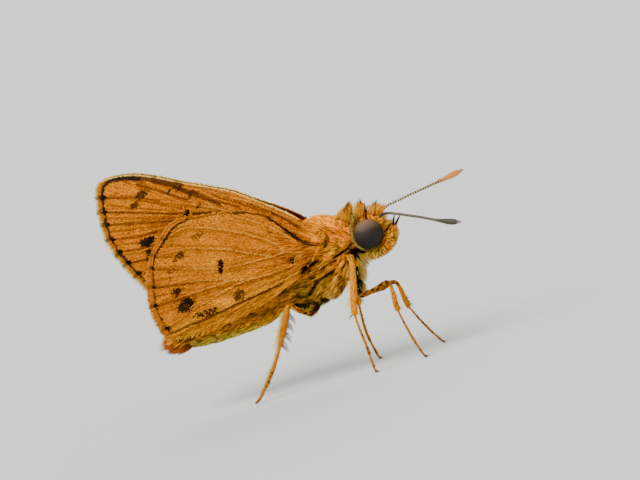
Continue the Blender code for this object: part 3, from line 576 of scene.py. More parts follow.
# Chitin hide under scales: dull and slightly waxy, with a fine pebbling at the scale of the
# scale sockets, about 0.04 mm apart. It gives the eye the dark ground between the tufts.
hide, tree, shader = new_material("scaly_hide", 0.8, 0.1)
pebbles = grain_of(tree, "ShaderNodeTexVoronoi", 0.04, "Distance")
use_tint(tree, shader, pebbles, {"From Max": 0.7, "To Min": 1.1, "To Max": 0.6})
use_relief(tree, shader, pebbles, 0.6, 0.01, invert=True)
skin = in_model("skin", skin_mesh, hide)
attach(skin, "root")
SKIN_NODES = ["head", "collar", "thorax", "abdomen", "palp_right", "palp_left"]
for leg in LEGS:
    lengths = ("coxa", "femur", "tibia") if leg.startswith("foreleg") else ("femur", "tibia")
    SKIN_NODES += [f"{leg}_{length}" for length in lengths]
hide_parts(*SKIN_NODES)

# The eyes: two large bare domes of clear horny facets over dark pigment, set in the sides of
# the head. Their colour is painted dark brown above and nearly black below, as painted light from above.
EYE_RADII = (0.85, 0.73, 0.85)


def new_tree(name, **inputs):
    """A Geometry Nodes tree with the inputs and one output, and the node that gives the inputs."""
    tree = bpy.data.node_groups.new(name, "GeometryNodeTree")
    for socket, kind in inputs.items():
        tree.interface.new_socket(socket, in_out="INPUT", socket_type="NodeSocket" + kind)
    tree.interface.new_socket("Geometry", in_out="OUTPUT", socket_type="NodeSocketGeometry")
    return tree, tree.nodes.new("NodeGroupInput")


def finish_tree(tree, geometry, given):
    """Gives the geometry its material and makes it the tree's output."""
    links = {"Geometry": geometry.outputs[0], "Material": given.outputs["Material"]}
    coated = add_node(tree, "GeometryNodeSetMaterial", links)
    tree.links.new(coated.outputs[0], tree.nodes.new("NodeGroupOutput").inputs[0])
    return tree


def facet_tree():
    """A dome of many small flat facets."""
    tree, given = new_tree("facets", Radii="Vector", Middle="Vector", Material="Material")
    sphere = add_node(tree, "GeometryNodeMeshIcoSphere", values={"Radius": 1.0, "Subdivisions": 5})
    dual = add_node(tree, "GeometryNodeDualMesh", {"Mesh": sphere.outputs["Mesh"]})
    place = {"Scale": given.outputs["Radii"], "Translation": given.outputs["Middle"]}
    sized = add_node(tree, "GeometryNodeTransform", {"Geometry": dual.outputs[0], **place})
    flat = add_node(
        tree, "GeometryNodeSetShadeSmooth", {"Geometry": sized.outputs[0]}, {"Shade Smooth": False}
    )
    whole = add_node(tree, "GeometryNodeRealizeInstances", {"Geometry": flat.outputs[0]})
    return finish_tree(tree, whole, given)


def grown(name, mesh, tree, inputs):
    """The mesh that a Geometry Nodes tree grows on another one."""
    obj = shown(name, mesh)
    modifier = obj.modifiers.new("Grow", "NODES")
    modifier.node_group = tree
    for item in tree.interface.items_tree:
        if item.in_out == "INPUT" and item.name in inputs:
            modifier[item.identifier] = inputs[item.name]
    made = made_plain(obj)
    made.name = name
    return made


# Cornea: clear, hard and smooth like horn, over dark pigment. Cells 0.03 mm across, finer than the
# facets of the mesh, soften its shine.
cornea, tree, shader = new_material("facetted_cornea", 0.62, 0.3)
place_node = add_node(tree, "ShaderNodeTexCoord")
height = add_node(tree, "ShaderNodeSeparateXYZ", {"Vector": place_node.outputs["Object"]})
# Painted light: the cornea's colour runs from nearly black at the bottom to dark brown at the top.
share = add_node(
    tree, "ShaderNodeMapRange", {"Value": height.outputs["Z"]},
    {"From Min": (EYE_CENTRE[2] - 0.5) * MM, "From Max": (EYE_CENTRE[2] + 0.85) * MM},
)
use_ramp(tree, shader, share.outputs[0], "#0D0B0A", "#7E6044", [(0.55, "#2A1F17")])
use_relief(tree, shader, grain_of(tree, "ShaderNodeTexVoronoi", 0.03, "Distance"), 0.4, 0.004, invert=True)
facets = facet_tree()
for side_name, side in SIDES.items():
    centre = (EYE_CENTRE[0], side * EYE_CENTRE[1], EYE_CENTRE[2])
    seed_mesh = mesh_from("eye_seed", np.array([centre]), [])
    inputs = {"Radii": EYE_RADII, "Middle": centre, "Material": cornea}
    dome = grown("cornea_" + side_name, seed_mesh, facets, inputs)
    eye = in_model("cornea_" + side_name, dome)
    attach(eye, "root")
    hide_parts("eye_" + side_name)

# The feelers: jointed horny threads with a ring of scales at each joint, dark on the outer
# side and cream on the inner, and a club that ends in a bent point. Each grows from a socket
# beside the brow.
FEELERS = {
    "right": (
        (3.66, -0.6, 8.16), (3.72, -0.66, 8.3), (3.95, -0.76, 8.44), (4.3, -0.94, 8.45),
        (4.73, -1.25, 8.34), (5.42, -1.8, 8.12), (6.16, -2.4, 7.88), (6.89, -3.0, 7.61),
        (7.29, -3.35, 7.48), (7.87, -3.8, 7.32), (8.41, -4.14, 7.23),
    ),
    "left": (
        (3.62, 0.6, 8.14), (3.72, 0.68, 8.34), (4.16, 0.95, 8.66), (4.99, 1.55, 8.77), (5.6, 1.95, 8.85),
        (6.18, 2.3, 8.91), (7.0, 2.85, 9.0), (7.71, 3.3, 9.08), (8.31, 3.7, 9.17), (8.83, 4.03, 9.24),
    ),
}
FEELER_JOINTS = 36
FEELER_RADIUS = 0.075
FEELER_SIDES = 16
CLUB = (  # share of the length, radius
    (0.0, 1.5), (0.03, 1.1), (0.08, 1.0), (0.68, 1.0), (0.78, 1.6), (0.86, 2.3), (0.92, 2.2), (0.96, 1.3),
    (1.0, 0.4),
)

# Feeler cuticle: horn with a short satin bloom of scales, darker at each joint.
thread, tree, shader = new_material("ringed_feeler_cuticle", 0.55)
bloom = grain_of(tree, "ShaderNodeTexNoise", 0.05, "Fac", Detail=3.0)
use_tint(tree, shader, bloom, {"To Min": 0.7, "To Max": 1.3})
use_relief(tree, shader, bloom, 0.5, 0.01)


def feeler_tint(share, ring, inner):
    """Linear colours: cream with dark rings inside, dark outside, and an orange and dark club."""
    pale = np.tile(linear("#E9D79A"), (len(share), 1))
    pale = painted(pale, eased((share - 0.3) / 0.4), "#D9A552")
    pale = painted(pale, ring, "#2E2016")
    pale = painted(pale, eased((share - 0.7) / 0.08), "#E08B3C")
    dark = np.tile(linear("#3E3A1E"), (len(share), 1))
    dark = painted(dark, 1 - eased((share - 0.06) / 0.12), "#17120E")
    dark = painted(dark, eased((share - 0.12) / 0.1) * (1 - ring) * 0.4, "#7D7A4C")
    dark = painted(dark, eased((share - 0.72) / 0.06), "#33301A")
    colour = pale + (dark - pale) * (1 - inner)[:, None]
    return painted(colour, eased((share - 0.95) / 0.03), "#8C8278")


for side_name, side in SIDES.items():
    path = smooth_path(FEELERS[side_name], 0.03)
    length = np.append(0, np.cumsum(np.linalg.norm(np.diff(path, axis=0), axis=1)))
    share = length / length[-1]
    wave = share * FEELER_JOINTS % 1
    radii = FEELER_RADIUS * np.interp(share, *np.transpose(CLUB)) * (0.92 + 0.16 * np.sin(math.pi * wave))
    radii[0] = radii[-1] = 0.01
    points, faces = tube(path, radii, FEELER_SIDES)
    path, radii, share, wave = (
        np.repeat(values, FEELER_SIDES, axis=0) for values in (path, radii, share, wave)
    )
    outward = (points - path) / radii[:, None]
    inner = eased(0.5 - 1.6 * (outward[:, 1] * side + 0.35 * outward[:, 2]))
    ring = 1 - eased((np.abs(wave - 0.5) - 0.22) / 0.1)
    feeler_mesh = mesh_from("feeler_" + side_name, points, faces)
    set_colours(feeler_mesh, "tint", feeler_tint(share, ring, inner))
    feeler = in_model("feeler_" + side_name, feeler_mesh, thread)
    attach(feeler, "root")
    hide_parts("antenna_" + side_name)

# The wings: thin stiff membranes held by branching veins, two a side, closed over the back.
# The hindwing lies outside the forewing, so the side that shows is the underside of both.
WING_ROOT = (0.33, 8.11)
WING_GRID = 0.12
WING_HALF = 0.04
VEIN_HEIGHT = 0.07
VEIN_HALF_WIDTH = 0.1
FORE_TERMEN = (
    (-10.6, 14.47), (-11.05, 14.3), (-11.25, 13.95), (-11.33, 13.5), (-11.45, 12.75), (-11.5, 12.0),
    (-11.46, 11.15), (-11.3, 10.55), (-11.15, 10.05), (-10.86, 9.45), (-10.63, 8.95), (-10.35, 8.5),
    (-10.1, 8.0), (-9.85, 7.6),
)
FORE_RIM = (
    (0.33, 8.11), (-0.7, 9.42), (-1.32, 9.95), (-2.0, 10.46), (-3.0, 11.15), (-4.0, 11.86), (-5.0, 12.36),
    (-6.0, 12.82), (-7.0, 13.3), (-8.0, 13.8), (-9.0, 14.21), (-10.0, 14.42), *FORE_TERMEN, (-9.2, 7.35),
    (-6.0, 7.2), (-2.5, 7.25), (-0.5, 7.5),
)
HIND_TERMEN = (
    (-6.96, 11.15), (-7.4, 11.1), (-7.97, 10.84), (-8.56, 10.29), (-9.09, 9.81), (-9.31, 9.49),
    (-9.5, 9.0), (-9.64, 8.5), (-9.74, 7.95), (-9.85, 7.48), (-9.93, 6.85), (-9.9, 6.33), (-9.82, 5.94),
    (-9.66, 5.5), (-9.55, 5.15), (-9.35, 4.8),
)
HIND_RIM = (
    (0.15, 7.78), (-0.25, 7.98), (-0.68, 8.25), (-1.0, 8.6), (-1.6, 9.3), (-2.3, 10.05), (-3.0, 10.45),
    (-4.0, 10.86), (-5.0, 11.07), (-6.0, 11.15), *HIND_TERMEN, (-8.95, 4.5), (-8.5, 4.42), (-7.2, 4.65),
    (-5.6, 4.98), (-4.0, 5.38), (-2.6, 5.85), (-1.4, 6.35), (-0.65, 6.95), (-0.25, 7.4),
)
CELL_FRONT = ((-3.9, 10.55), (-4.9, 11.1), (-5.8, 11.55), (-6.75, 11.95))
CELL_END = ((-6.92, 11.55), (-6.85, 11.1))
CELL_REAR = ((-4.2, 9.55), (-5.6, 10.15), (-6.6, 10.7))
FORE_VEINS = (
    ((-0.2, 8.6), (-0.7, 9.2), (-3.0, 10.95), (-5.6, 12.5)),
    ((-0.6, 8.5), (-2.2, 9.55), *CELL_FRONT),
    ((-0.6, 8.1), (-2.2, 8.75), *CELL_REAR),
    (CELL_FRONT[3], *CELL_END, CELL_REAR[2]),
    (CELL_FRONT[0], (-5.4, 11.9), (-6.9, 13.2)),
    (CELL_FRONT[1], (-6.4, 12.4), (-8.1, 13.8)),
    (CELL_FRONT[2], (-7.3, 12.75), (-9.2, 14.2)),
    (CELL_FRONT[3], (-8.1, 12.95), (-9.4, 13.95), (-10.0, 14.35)),
    (CELL_FRONT[3], (-8.0, 12.4), (-9.65, 13.08), (-10.5, 13.35), (-11.35, 13.58)),
    (CELL_END[0], (-8.0, 11.8), (-9.0, 12.13), (-10.1, 12.45), (-11.4, 12.77)),
    (CELL_END[1], (-8.6, 11.4), (-10.15, 11.7), (-11.45, 12.02)),
    (CELL_REAR[2], (-8.6, 10.95), (-10.0, 11.0), (-11.4, 11.15)),
    (CELL_REAR[1], (-8.0, 10.1), (-10.0, 10.0), (-11.2, 10.2)),
    (CELL_REAR[0], (-7.0, 9.4), (-9.8, 9.55), (-10.85, 9.57)),
    ((-0.6, 7.75), (-5.0, 8.15), (-10.45, 8.85)),
)
ROOT_FORK = (-1.1, 7.65)
FRONT_FORK = (-1.86, 7.95)
CELL_FORK = (-2.6, 7.83)
REAR_FORKS = ((-4.4, 6.93), (-5.3, 7.12))
HIND_VEINS = (
    ((-0.9, 8.15), (-2.3, 9.5), (-4.2, 10.65)),
    (ROOT_FORK, FRONT_FORK, (-2.14, 8.34), (-2.62, 8.77), (-3.76, 9.47), (-5.0, 10.06), (-6.0, 10.44),
        (-7.0, 10.7), (-8.4, 10.4)),
    (FRONT_FORK, CELL_FORK, (-3.0, 8.01), (-4.0, 8.39), (-5.0, 8.88), (-6.0, 9.2), (-7.0, 9.52),
        (-9.15, 9.6)),
    (CELL_FORK, (-5.0, 7.85), (-6.0, 8.0), (-7.4, 8.4), (-9.55, 8.98)),
    (ROOT_FORK, (-1.8, 7.05), (-3.0, 6.93), *REAR_FORKS, (-5.7, 7.3), (-7.0, 7.58), (-9.7, 7.9)),
    (REAR_FORKS[1], (-7.4, 7.0), (-9.88, 6.85)),
    (REAR_FORKS[0], (-5.02, 6.83), (-5.97, 6.6), (-6.92, 6.33), (-7.97, 6.06), (-8.76, 5.75), (-9.6, 5.5)),
    ((-1.4, 6.75), (-1.6, 6.55), (-3.0, 6.23), (-4.97, 5.96), (-5.97, 5.75), (-6.97, 5.48), (-7.97, 5.27),
        (-9.3, 4.97)),
)


def forewing_y(flat):
    """How far the middle of the forewing lies from the middle plane, over its side view."""
    away = np.hypot(flat[:, 0] - WING_ROOT[0], flat[:, 1] - WING_ROOT[1])
    return 0.4 + 0.95 * np.exp(-((away / 2.6) ** 2))


def hindwing_y(flat):
    """As forewing_y, for the hindwing, whose root bends in to the side of the thorax."""
    root = np.hypot(flat[:, 0] + 0.3, flat[:, 1] - 7.4) / 1.3
    return forewing_y(flat) + 0.85 + 0.3 * eased((6.5 - flat[:, 1]) / 0.9) - 0.62 * np.exp(-(root**2))


def vein_distance(flat, veins):
    return np.min([reach(flat, vein) for vein in veins], axis=0)


def pleats(flat, veins):
    """The membrane's relief: a ridge on each vein and a soft hollow between two of them."""
    away = vein_distance(flat, veins)
    ridge = VEIN_HEIGHT * (1 - eased(away / VEIN_HALF_WIDTH))
    hollow = 0.05 * eased(away / 0.4)
    ripple = 0.03 * (mottle(np.column_stack([flat, 0 * away]), (0.6, 0.25, 1), 31) - 0.5)
    return ridge - hollow + ripple


def within(flat, rim):
    """Which points lie inside a closed outline."""
    x, z = flat[:, :1], flat[:, 1:]
    a, b = rim, np.roll(rim, -1, axis=0)
    crosses = (a[:, 1] > z) != (b[:, 1] > z)
    with np.errstate(divide="ignore", invalid="ignore"):
        where = a[:, 0] + (z - a[:, 1]) / (b[:, 1] - a[:, 1]) * (b[:, 0] - a[:, 0])
    return (crosses & (x < where)).sum(1) % 2 == 1


def closed_path(knots, step):
    """As smooth_path, for a closed outline."""
    count = len(knots)
    path = smooth_path([*knots[-3:], *knots, *knots[:3]], step)
    pieces = [max(1, round(math.dist(knots[i - 3], knots[(i - 2) % count]) / step)) for i in range(3)]
    tail = [max(1, round(math.dist(knots[i], knots[i + 1]) / step)) for i in range(2)]
    return path[sum(pieces):len(path) - sum(tail) - 1]


def rim_distance(flat, rim):
    return reach(flat, np.vstack([rim, rim[:1]]))


def jittered_grid(rim, spacing, inset, seed):
    """Points in offset rows over an outline, each a little out of place."""
    low, high = rim.min(0), rim.max(0)
    points = []
    for i, z in enumerate(np.arange(low[1], high[1], spacing * 0.87)):
        x = np.arange(low[0] + spacing / 2 * (i % 2), high[0], spacing)
        points.append(np.column_stack([x, np.full(len(x), z)]))
    points = np.vstack(points)
    points += np.random.default_rng(seed).uniform(-0.18, 0.18, points.shape) * spacing
    points = points[within(points, rim)]
    return points[rim_distance(points, rim) > inset]


def in_space(flat, y):
    """Points or directions of the side view, with how far each lies from the middle plane."""
    return np.column_stack([flat[:, 0], np.broadcast_to(y, len(flat)), flat[:, 1]])


def wing_middle(flat, veins, middle_y, edge):
    """How far the middle of a wing with its relief lies from the middle plane."""
    return middle_y(flat) + pleats(flat, veins) * edge


def half_thickness(edge):
    """Half the membrane's thickness, which thins out towards the rim."""
    return WING_HALF * (0.4 + 0.6 * edge)


def membrane(rim_knots, veins, middle_y, side):
    """Both faces of a wing with its veins' relief, closed along the rim."""
    rim = closed_path(rim_knots, 0.1)
    inner = jittered_grid(rim, WING_GRID, 0.06, 41)
    inner = inner[vein_distance(inner, veins) > 0.05]
    vein_points = np.vstack([smooth_path(vein, 0.08) for vein in veins])
    vein_points = vein_points[within(vein_points, rim)]
    vein_points = vein_points[rim_distance(vein_points, rim) > 0.05]
    flat = [Vector(point) for point in np.vstack([rim, inner, vein_points])]
    found, _, faces, _, _, _ = delaunay_2d_cdt(flat, [], [list(range(len(rim)))], 1, 0.004)
    flat = np.array([tuple(point) for point in found])
    edge = eased(rim_distance(flat, rim) / 0.12)
    middle = wing_middle(flat, veins, middle_y, edge)
    outer = in_space(flat, side * (middle + half_thickness(edge)))
    under = in_space(flat, side * (middle - half_thickness(edge)))
    count = len(flat)
    both = [list(face) for face in faces] + [[i + count for i in reversed(face)] for face in faces]
    used = {(a, b) for face in faces for a, b in zip(face, face[1:] + face[:1])}
    for a, b in sorted(used):
        if (b, a) not in used:
            both.append([b, a, a + count, b + count])
    if side > 0:
        both = [face[::-1] for face in both]
    return np.vstack([outer, under]), both


# Marks of the undersides, in side view, with some painted shade along the hindwing's front edge. Lines: path,
# width, colour, strength. Spots: centre x and z, length, height, turn, colour, strength.
FORE_BORDER = (
    (-8.86, 13.99), (-9.71, 14.24), (-10.3, 14.32), (-10.63, 14.27), (-10.95, 14.07), (-11.16, 13.59),
    (-11.26, 13.07), (-11.35, 12.36), (-11.38, 11.82), (-11.36, 11.08), (-11.13, 10.28), (-10.8, 9.64),
    (-10.5, 8.92), (-10.14, 8.27), (-9.98, 7.95),
)
HIND_BORDER = (
    (-6.7, 11.08), (-6.99, 11.05), (-7.37, 10.98), (-7.74, 10.8), (-8.04, 10.54), (-8.53, 10.12),
    (-8.94, 9.76), (-9.24, 9.33), (-9.45, 8.84), (-9.59, 8.24), (-9.74, 7.73), (-9.82, 7.2), (-9.84, 6.7),
    (-9.82, 6.29), (-9.75, 5.9), (-9.56, 5.43), (-9.42, 5.26),
)
FORE_LINES = (
    (FORE_BORDER, 0.16, "#241D1A", 0.97),
    (((-6.85, 13.12), (-7.65, 13.57), (-8.86, 13.99), (-9.71, 14.24), (-10.6, 14.3)), 0.24, "#2C2420", 0.8),
    (((-4.07, 11.67), (-5.17, 12.32), (-6.81, 13.07)), 0.1, "#6A3A18", 0.5),
    (((-11.15, 13.5), (-10.9, 13.42), (-9.61, 13.08), (-8.07, 12.47)), 0.09, "#6E3810", 0.8),
    (((-11.28, 12.66), (-10.17, 12.37), (-9.26, 12.07), (-7.25, 11.47)), 0.1, "#6E3810", 0.85),
    (((-11.32, 11.89), (-10.17, 11.72), (-9.23, 11.51), (-7.5, 11.18)), 0.1, "#6E3810", 0.8),
    (((-11.3, 11.06), (-9.81, 10.79), (-8.67, 10.82)), 0.09, "#6E3810", 0.8),
    (((-11.1, 10.23), (-9.81, 10.11), (-8.87, 10.07)), 0.09, "#6E3810", 0.8),
    (((-10.75, 9.54), (-9.27, 9.41)), 0.09, "#6E3810", 0.75),
    (((-11.02, 13.02), (-9.36, 12.37), (-8.07, 11.92)), 0.09, "#7A4008", 0.65),
    (((-11.21, 12.27), (-9.17, 11.72), (-7.52, 11.32)), 0.13, "#8A4710", 0.7),
    (((-11.24, 11.5), (-9.5, 11.22), (-8.07, 11.07)), 0.1, "#7A4008", 0.65),
    (((-11.2, 10.65), (-9.87, 10.47)), 0.1, "#7A4008", 0.6),
    (((-6.97, 11.72), (-8.07, 12.27), (-9.27, 12.82)), 0.1, "#6E3608", 0.55),
    (((-5.87, 12.27), (-7.27, 13.17), (-8.17, 13.62)), 0.13, "#4A2408", 0.85),
    (((-6.57, 12.12), (-8.07, 13.07), (-9.05, 13.69)), 0.12, "#5E2C08", 0.8),
    (((-4.77, 11.37), (-6.07, 12.22), (-7.07, 12.97)), 0.13, "#4A2408", 0.85),
    (((-3.77, 10.87), (-5.07, 11.67), (-6.07, 12.47)), 0.12, "#5A2A08", 0.75),
    (((-2.27, 10.17), (-3.67, 11.07), (-5.07, 11.92)), 0.11, "#6A3408", 0.65),
    (((-4.62, 10.72), (-5.37, 10.96), (-6.02, 11.13), (-6.37, 11.21)), 0.2, "#2E1C10", 0.85),
    (((-0.27, 8.92), (-0.87, 9.32), (-1.87, 10.02), (-3.27, 10.97)), 0.08, "#8A4A18", 0.6),
    (((-0.17, 8.47), (-0.57, 8.72), (-0.97, 9.12), (-1.47, 9.59), (-2.07, 10.07)), 0.12, "#3A2010", 0.75),
)
HIND_LINES = (
    (((-9.22, 4.78), (-5.87, 5.27), (-2.37, 6.07)), 1.3, "#E29A14", 0.55),
    (HIND_BORDER, 0.14, "#231B17", 1.0),
    # The next four lines are painted shade along the hindwing's front edge, where it lies on the forewing,
    # down to its root.
    (((-6.6, 11.06), (-5.87, 11.02), (-5.07, 10.95), (-4.27, 10.83)), 0.12, "#5A3414", 0.6),
    (((-4.07, 10.75), (-3.42, 10.57), (-2.74, 10.35), (-2.27, 10.05)), 0.13, "#3A1E0C", 0.9),
    (((-2.27, 10.02), (-1.53, 9.14), (-1.13, 8.61)), 0.13, "#1C120C", 1.0),
    (((-1.4, 8.98), (-1.13, 8.61), (-0.77, 8.2), (-0.25, 7.88)), 0.17, "#24160C", 0.95),
    (((-9.47, 5.12), (-7.43, 5.4), (-5.52, 5.7), (-3.61, 6.0), (-2.34, 6.3)), 0.11, "#5A2C0A", 0.9),
    (((-9.26, 4.73), (-9.12, 4.63), (-8.81, 4.47), (-8.47, 4.43), (-8.07, 4.53)), 0.18, "#2A1E14", 0.85),
    (((-9.85, 6.85), (-9.2, 6.88), (-8.07, 6.92)), 0.09, "#6E3608", 0.6),
    (((-9.7, 7.85), (-8.87, 7.77), (-7.37, 7.57)), 0.1, "#6E3608", 0.6),
    (((-9.6, 8.3), (-8.77, 8.17), (-7.47, 8.02)), 0.09, "#6E3608", 0.5),
    (((-9.4, 8.95), (-8.27, 8.67), (-7.27, 8.47)), 0.09, "#6E3608", 0.5),
    (((-9.1, 9.5), (-8.07, 9.27), (-7.17, 9.02)), 0.09, "#6E3608", 0.45),
    (((-8.6, 10.0), (-7.67, 9.82), (-6.87, 9.57)), 0.09, "#6E3608", 0.45),
    (((-9.8, 6.3), (-8.87, 6.37), (-7.47, 6.47)), 0.09, "#6E3608", 0.5),
    (((-9.8, 7.38), (-8.97, 7.32), (-7.47, 7.22)), 0.09, "#6E3608", 0.5),
    (((-1.77, 7.27), (-3.47, 7.39), (-4.87, 7.59), (-6.27, 7.77), (-7.47, 7.97)), 0.08, "#9A5510", 0.6),
    (((-1.87, 7.72), (-3.47, 8.42), (-4.87, 8.97), (-6.27, 9.42), (-7.67, 9.82)), 0.08, "#9A5510", 0.6),
    (((-2.07, 8.12), (-2.87, 8.72), (-3.87, 9.37), (-5.07, 9.92), (-6.47, 10.32)), 0.08, "#9A5510", 0.6),
    (((-1.67, 8.47), (-2.47, 9.27), (-3.47, 9.97), (-4.67, 10.47)), 0.08, "#9A5510", 0.5),
    (((-1.87, 6.95), (-3.07, 6.75), (-4.47, 6.69), (-6.07, 6.92)), 0.1, "#8A4A10", 0.65),
    (((-2.07, 6.57), (-3.47, 6.37), (-4.67, 6.22)), 0.12, "#8A4A10", 0.6),
    (((-7.27, 6.72), (-6.27, 6.77), (-5.27, 6.92)), 0.08, "#8A4A10", 0.5),
    (((-9.14, 4.94), (-7.47, 5.12), (-5.47, 5.39), (-3.67, 5.72)), 0.08, "#B87018", 0.5),
)
FORE_SPOTS = (
    (-6.75, 11.4, 0.42, 0.4, 0, "#1B1410", 1.3),
    (-9.36, 10.4, 1.1, 0.56, 8, "#1D1612", 1.3),
    (-9.62, 10.47, 0.6, 0.4, 8, "#3A2412", 0.9),
    (-9.4, 9.77, 0.5, 0.55, 60, "#3A2214", 1.0),
    (-9.59, 9.47, 0.4, 0.3, 60, "#5A3416", 0.8),
    (-8.98, 13.07, 0.95, 0.5, 15, "#4E2A10", 0.95),
    (-9.47, 12.61, 0.8, 0.36, 15, "#5E3412", 0.85),
    (-7.37, 12.82, 0.5, 0.25, 40, "#4A2A12", 0.9),
    (-6.72, 12.92, 0.8, 0.25, 40, "#3A2012", 0.95),
    (-6.27, 12.32, 0.8, 0.22, 50, "#4A2812", 0.9),
    (-6.02, 11.57, 0.5, 0.2, 40, "#4A2812", 0.8),
    (-11.14, 13.5, 0.42, 0.36, 0, "#1F1815", 1.2),
    (-11.26, 12.66, 0.36, 0.3, 0, "#1F1815", 1.2),
    (-11.3, 11.9, 0.36, 0.26, 0, "#1F1815", 1.1),
    (-11.25, 11.07, 0.42, 0.3, 0, "#1F1815", 1.2),
    (-11.05, 10.23, 0.42, 0.32, 0, "#1F1815", 1.2),
    (-10.72, 9.53, 0.42, 0.32, 0, "#1F1815", 1.2),
    (-10.36, 8.8, 0.46, 0.34, 0, "#1F1815", 1.2),
)
HIND_SPOTS = (
    (-5.55, 8.19, 0.34, 0.5, 0, "#1B140E", 1.3),
    (-5.67, 7.82, 0.34, 0.5, 0, "#1B140E", 1.2),
    (-7.71, 9.24, 0.7, 0.55, 20, "#4A2A10", 0.85),
    (-7.97, 9.07, 0.7, 0.26, 30, "#6A3A12", 0.75),
    (-6.35, 10.06, 0.85, 0.5, 20, "#7A4410", 0.6),
    (-8.38, 8.51, 0.6, 0.3, 10, "#7A4410", 0.6),
    (-8.57, 8.15, 0.35, 0.25, 0, "#7A4410", 0.6),
    (-8.4, 7.28, 0.8, 0.55, 15, "#3C220C", 0.95),
    (-8.14, 6.43, 1.25, 0.85, 20, "#33200E", 1.0),
    (-7.87, 6.59, 0.5, 0.6, 30, "#241810", 1.1),
    (-7.07, 5.72, 1.9, 0.45, 2, "#3E240C", 0.85),
    (-5.02, 6.19, 0.95, 0.75, 20, "#55330E", 0.75),
    (-6.02, 6.11, 1.5, 0.55, 170, "#F09410", 0.75),
    (-1.65, 7.39, 0.46, 0.42, 0, "#241812", 1.1),
    (-1.11, 6.65, 0.7, 0.45, 40, "#1E1410", 1.3),
    (-0.59, 6.92, 0.3, 0.5, 80, "#2E1E12", 1.0),
    (-8.6, 10.02, 0.3, 0.26, 0, "#231B17", 1.0),
    (-9.2, 9.4, 0.3, 0.26, 0, "#231B17", 1.0),
    (-9.42, 8.95, 0.3, 0.26, 0, "#231B17", 1.0),
    (-9.66, 7.9, 0.34, 0.28, 0, "#231B17", 1.1),
    (-9.82, 6.85, 0.34, 0.3, 0, "#231B17", 1.1),
    (-9.76, 6.06, 0.34, 0.28, 0, "#231B17", 1.1),
    (-9.52, 5.4, 0.5, 0.42, 0, "#231B17", 1.2),
)


def wing_tint(flat, veins, lines, spots, base):
    """Linear colours of a wing's underside, made of scales: streaked along the veins, with painted shade
    beside their ridges, and with its marks.
    """
    away = flat - WING_ROOT
    radius = np.hypot(away[:, 0], away[:, 1])
    turn = np.arctan2(away[:, 1], -away[:, 0])
    streak = mottle(np.column_stack([radius, turn * 10, 0 * radius]), (0.5, 0.09, 1), 51)
    speck = mottle(np.column_stack([flat, 0 * radius]), (0.08, 0.08, 1), 53)
    cloud = mottle(np.column_stack([flat, 0 * radius]), (1.4, 1.0, 1), 55)
    chance = np.random.default_rng(57).random(len(flat))
    vein = vein_distance(flat, veins)
    colour = np.tile(linear(base), (len(flat), 1))
    colour = painted(colour, cloud * 0.6, "#E88E12")
    colour = painted(colour, eased(1.1 - streak * 2.6) * 0.4, "#EFA02A")
    colour = painted(colour, eased(streak * 2.4 - 1.4) * 0.45, "#8A4A0C")
    outer = eased((radius - 6.5) / 2)
    # Painted shade: a brown line about 0.1 mm to each side of a vein, the shadow of its ridge.
    colour = painted(colour, (1 - eased(np.abs(vein - 0.1) / 0.05)) * (0.35 + 0.15 * outer), "#7A3C08")
    colour = painted(colour, (1 - eased(vein / 0.06)) * (0.55 - 0.45 * outer), "#F4A83A")
    colour = painted(colour, (chance > 0.9) * 0.5, "#6A3408")
    ragged = flat + 0.05 * (np.column_stack([speck, streak]) - 0.5)
    for path, width, hex_colour, strength in lines:
        edge = reach(ragged, path) / (width / 2)
        colour = painted(colour, (1 - eased(edge - 0.7)) * strength, hex_colour)
    for x, z, length, height, angle, hex_colour, strength in spots:
        amount = spot(ragged, x, z, length, height, angle) * strength * (0.7 + 0.6 * speck)
        colour = painted(colour, eased((amount - chance) * 3 + 0.5) * (amount > 0.02), hex_colour)
    near = eased((flat[:, 0] + 0.9) / 0.7) * eased((8.6 - np.abs(flat[:, 1] - 0.5)) / 0.4)
    body = body_tint(in_space(flat, 0.0))
    colour += (body - colour) * (near * 0.8)[:, None]
    return colour * (0.8 + 0.4 * speck)[:, None]


# Wing membrane: thin amber horn, seen only in the gaps between its scales.
film, tree, shader = new_material("wing_membrane", 0.7, 0.1)
haze = grain_of(tree, "ShaderNodeTexNoise", 0.08, "Fac", Detail=4.0)
use_tint(tree, shader, haze, {"To Min": 0.6, "To Max": 1.2})
use_relief(tree, shader, haze, 0.5, 0.01)

WINGS = {
    "forewing": (FORE_RIM, FORE_VEINS, forewing_y, FORE_LINES, FORE_SPOTS, "#D87608"),
    "hindwing": (HIND_RIM, HIND_VEINS, hindwing_y, HIND_LINES, HIND_SPOTS, "#C8720E"),
}
UPPER_SIDE = "#4A2412"
for kind, (rim_knots, veins, middle_y, lines, spots, base) in WINGS.items():
    for side_name, side in SIDES.items():
        points, faces = membrane(rim_knots, veins, middle_y, side)
        wing_mesh = mesh_from(f"{kind}_membrane_{side_name}", points, faces)
        half = len(points) // 2
        under = wing_tint(points[:half][:, (0, 2)], veins, lines, spots, base)
        upper = np.tile(linear(UPPER_SIDE), (half, 1))
        set_colours(wing_mesh, "tint", np.vstack([under * 0.8, upper]))
        wing = in_model(wing_mesh.name, wing_mesh, film)
        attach(wing, "root")
        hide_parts(f"{kind}_{side_name}")

# The coat: flat scales and hair-like scales that cover every part but the eyes and feelers.
# Each is a thin closed blade with its root in the skin, lying along the body over the next.
PATCH = 0.003


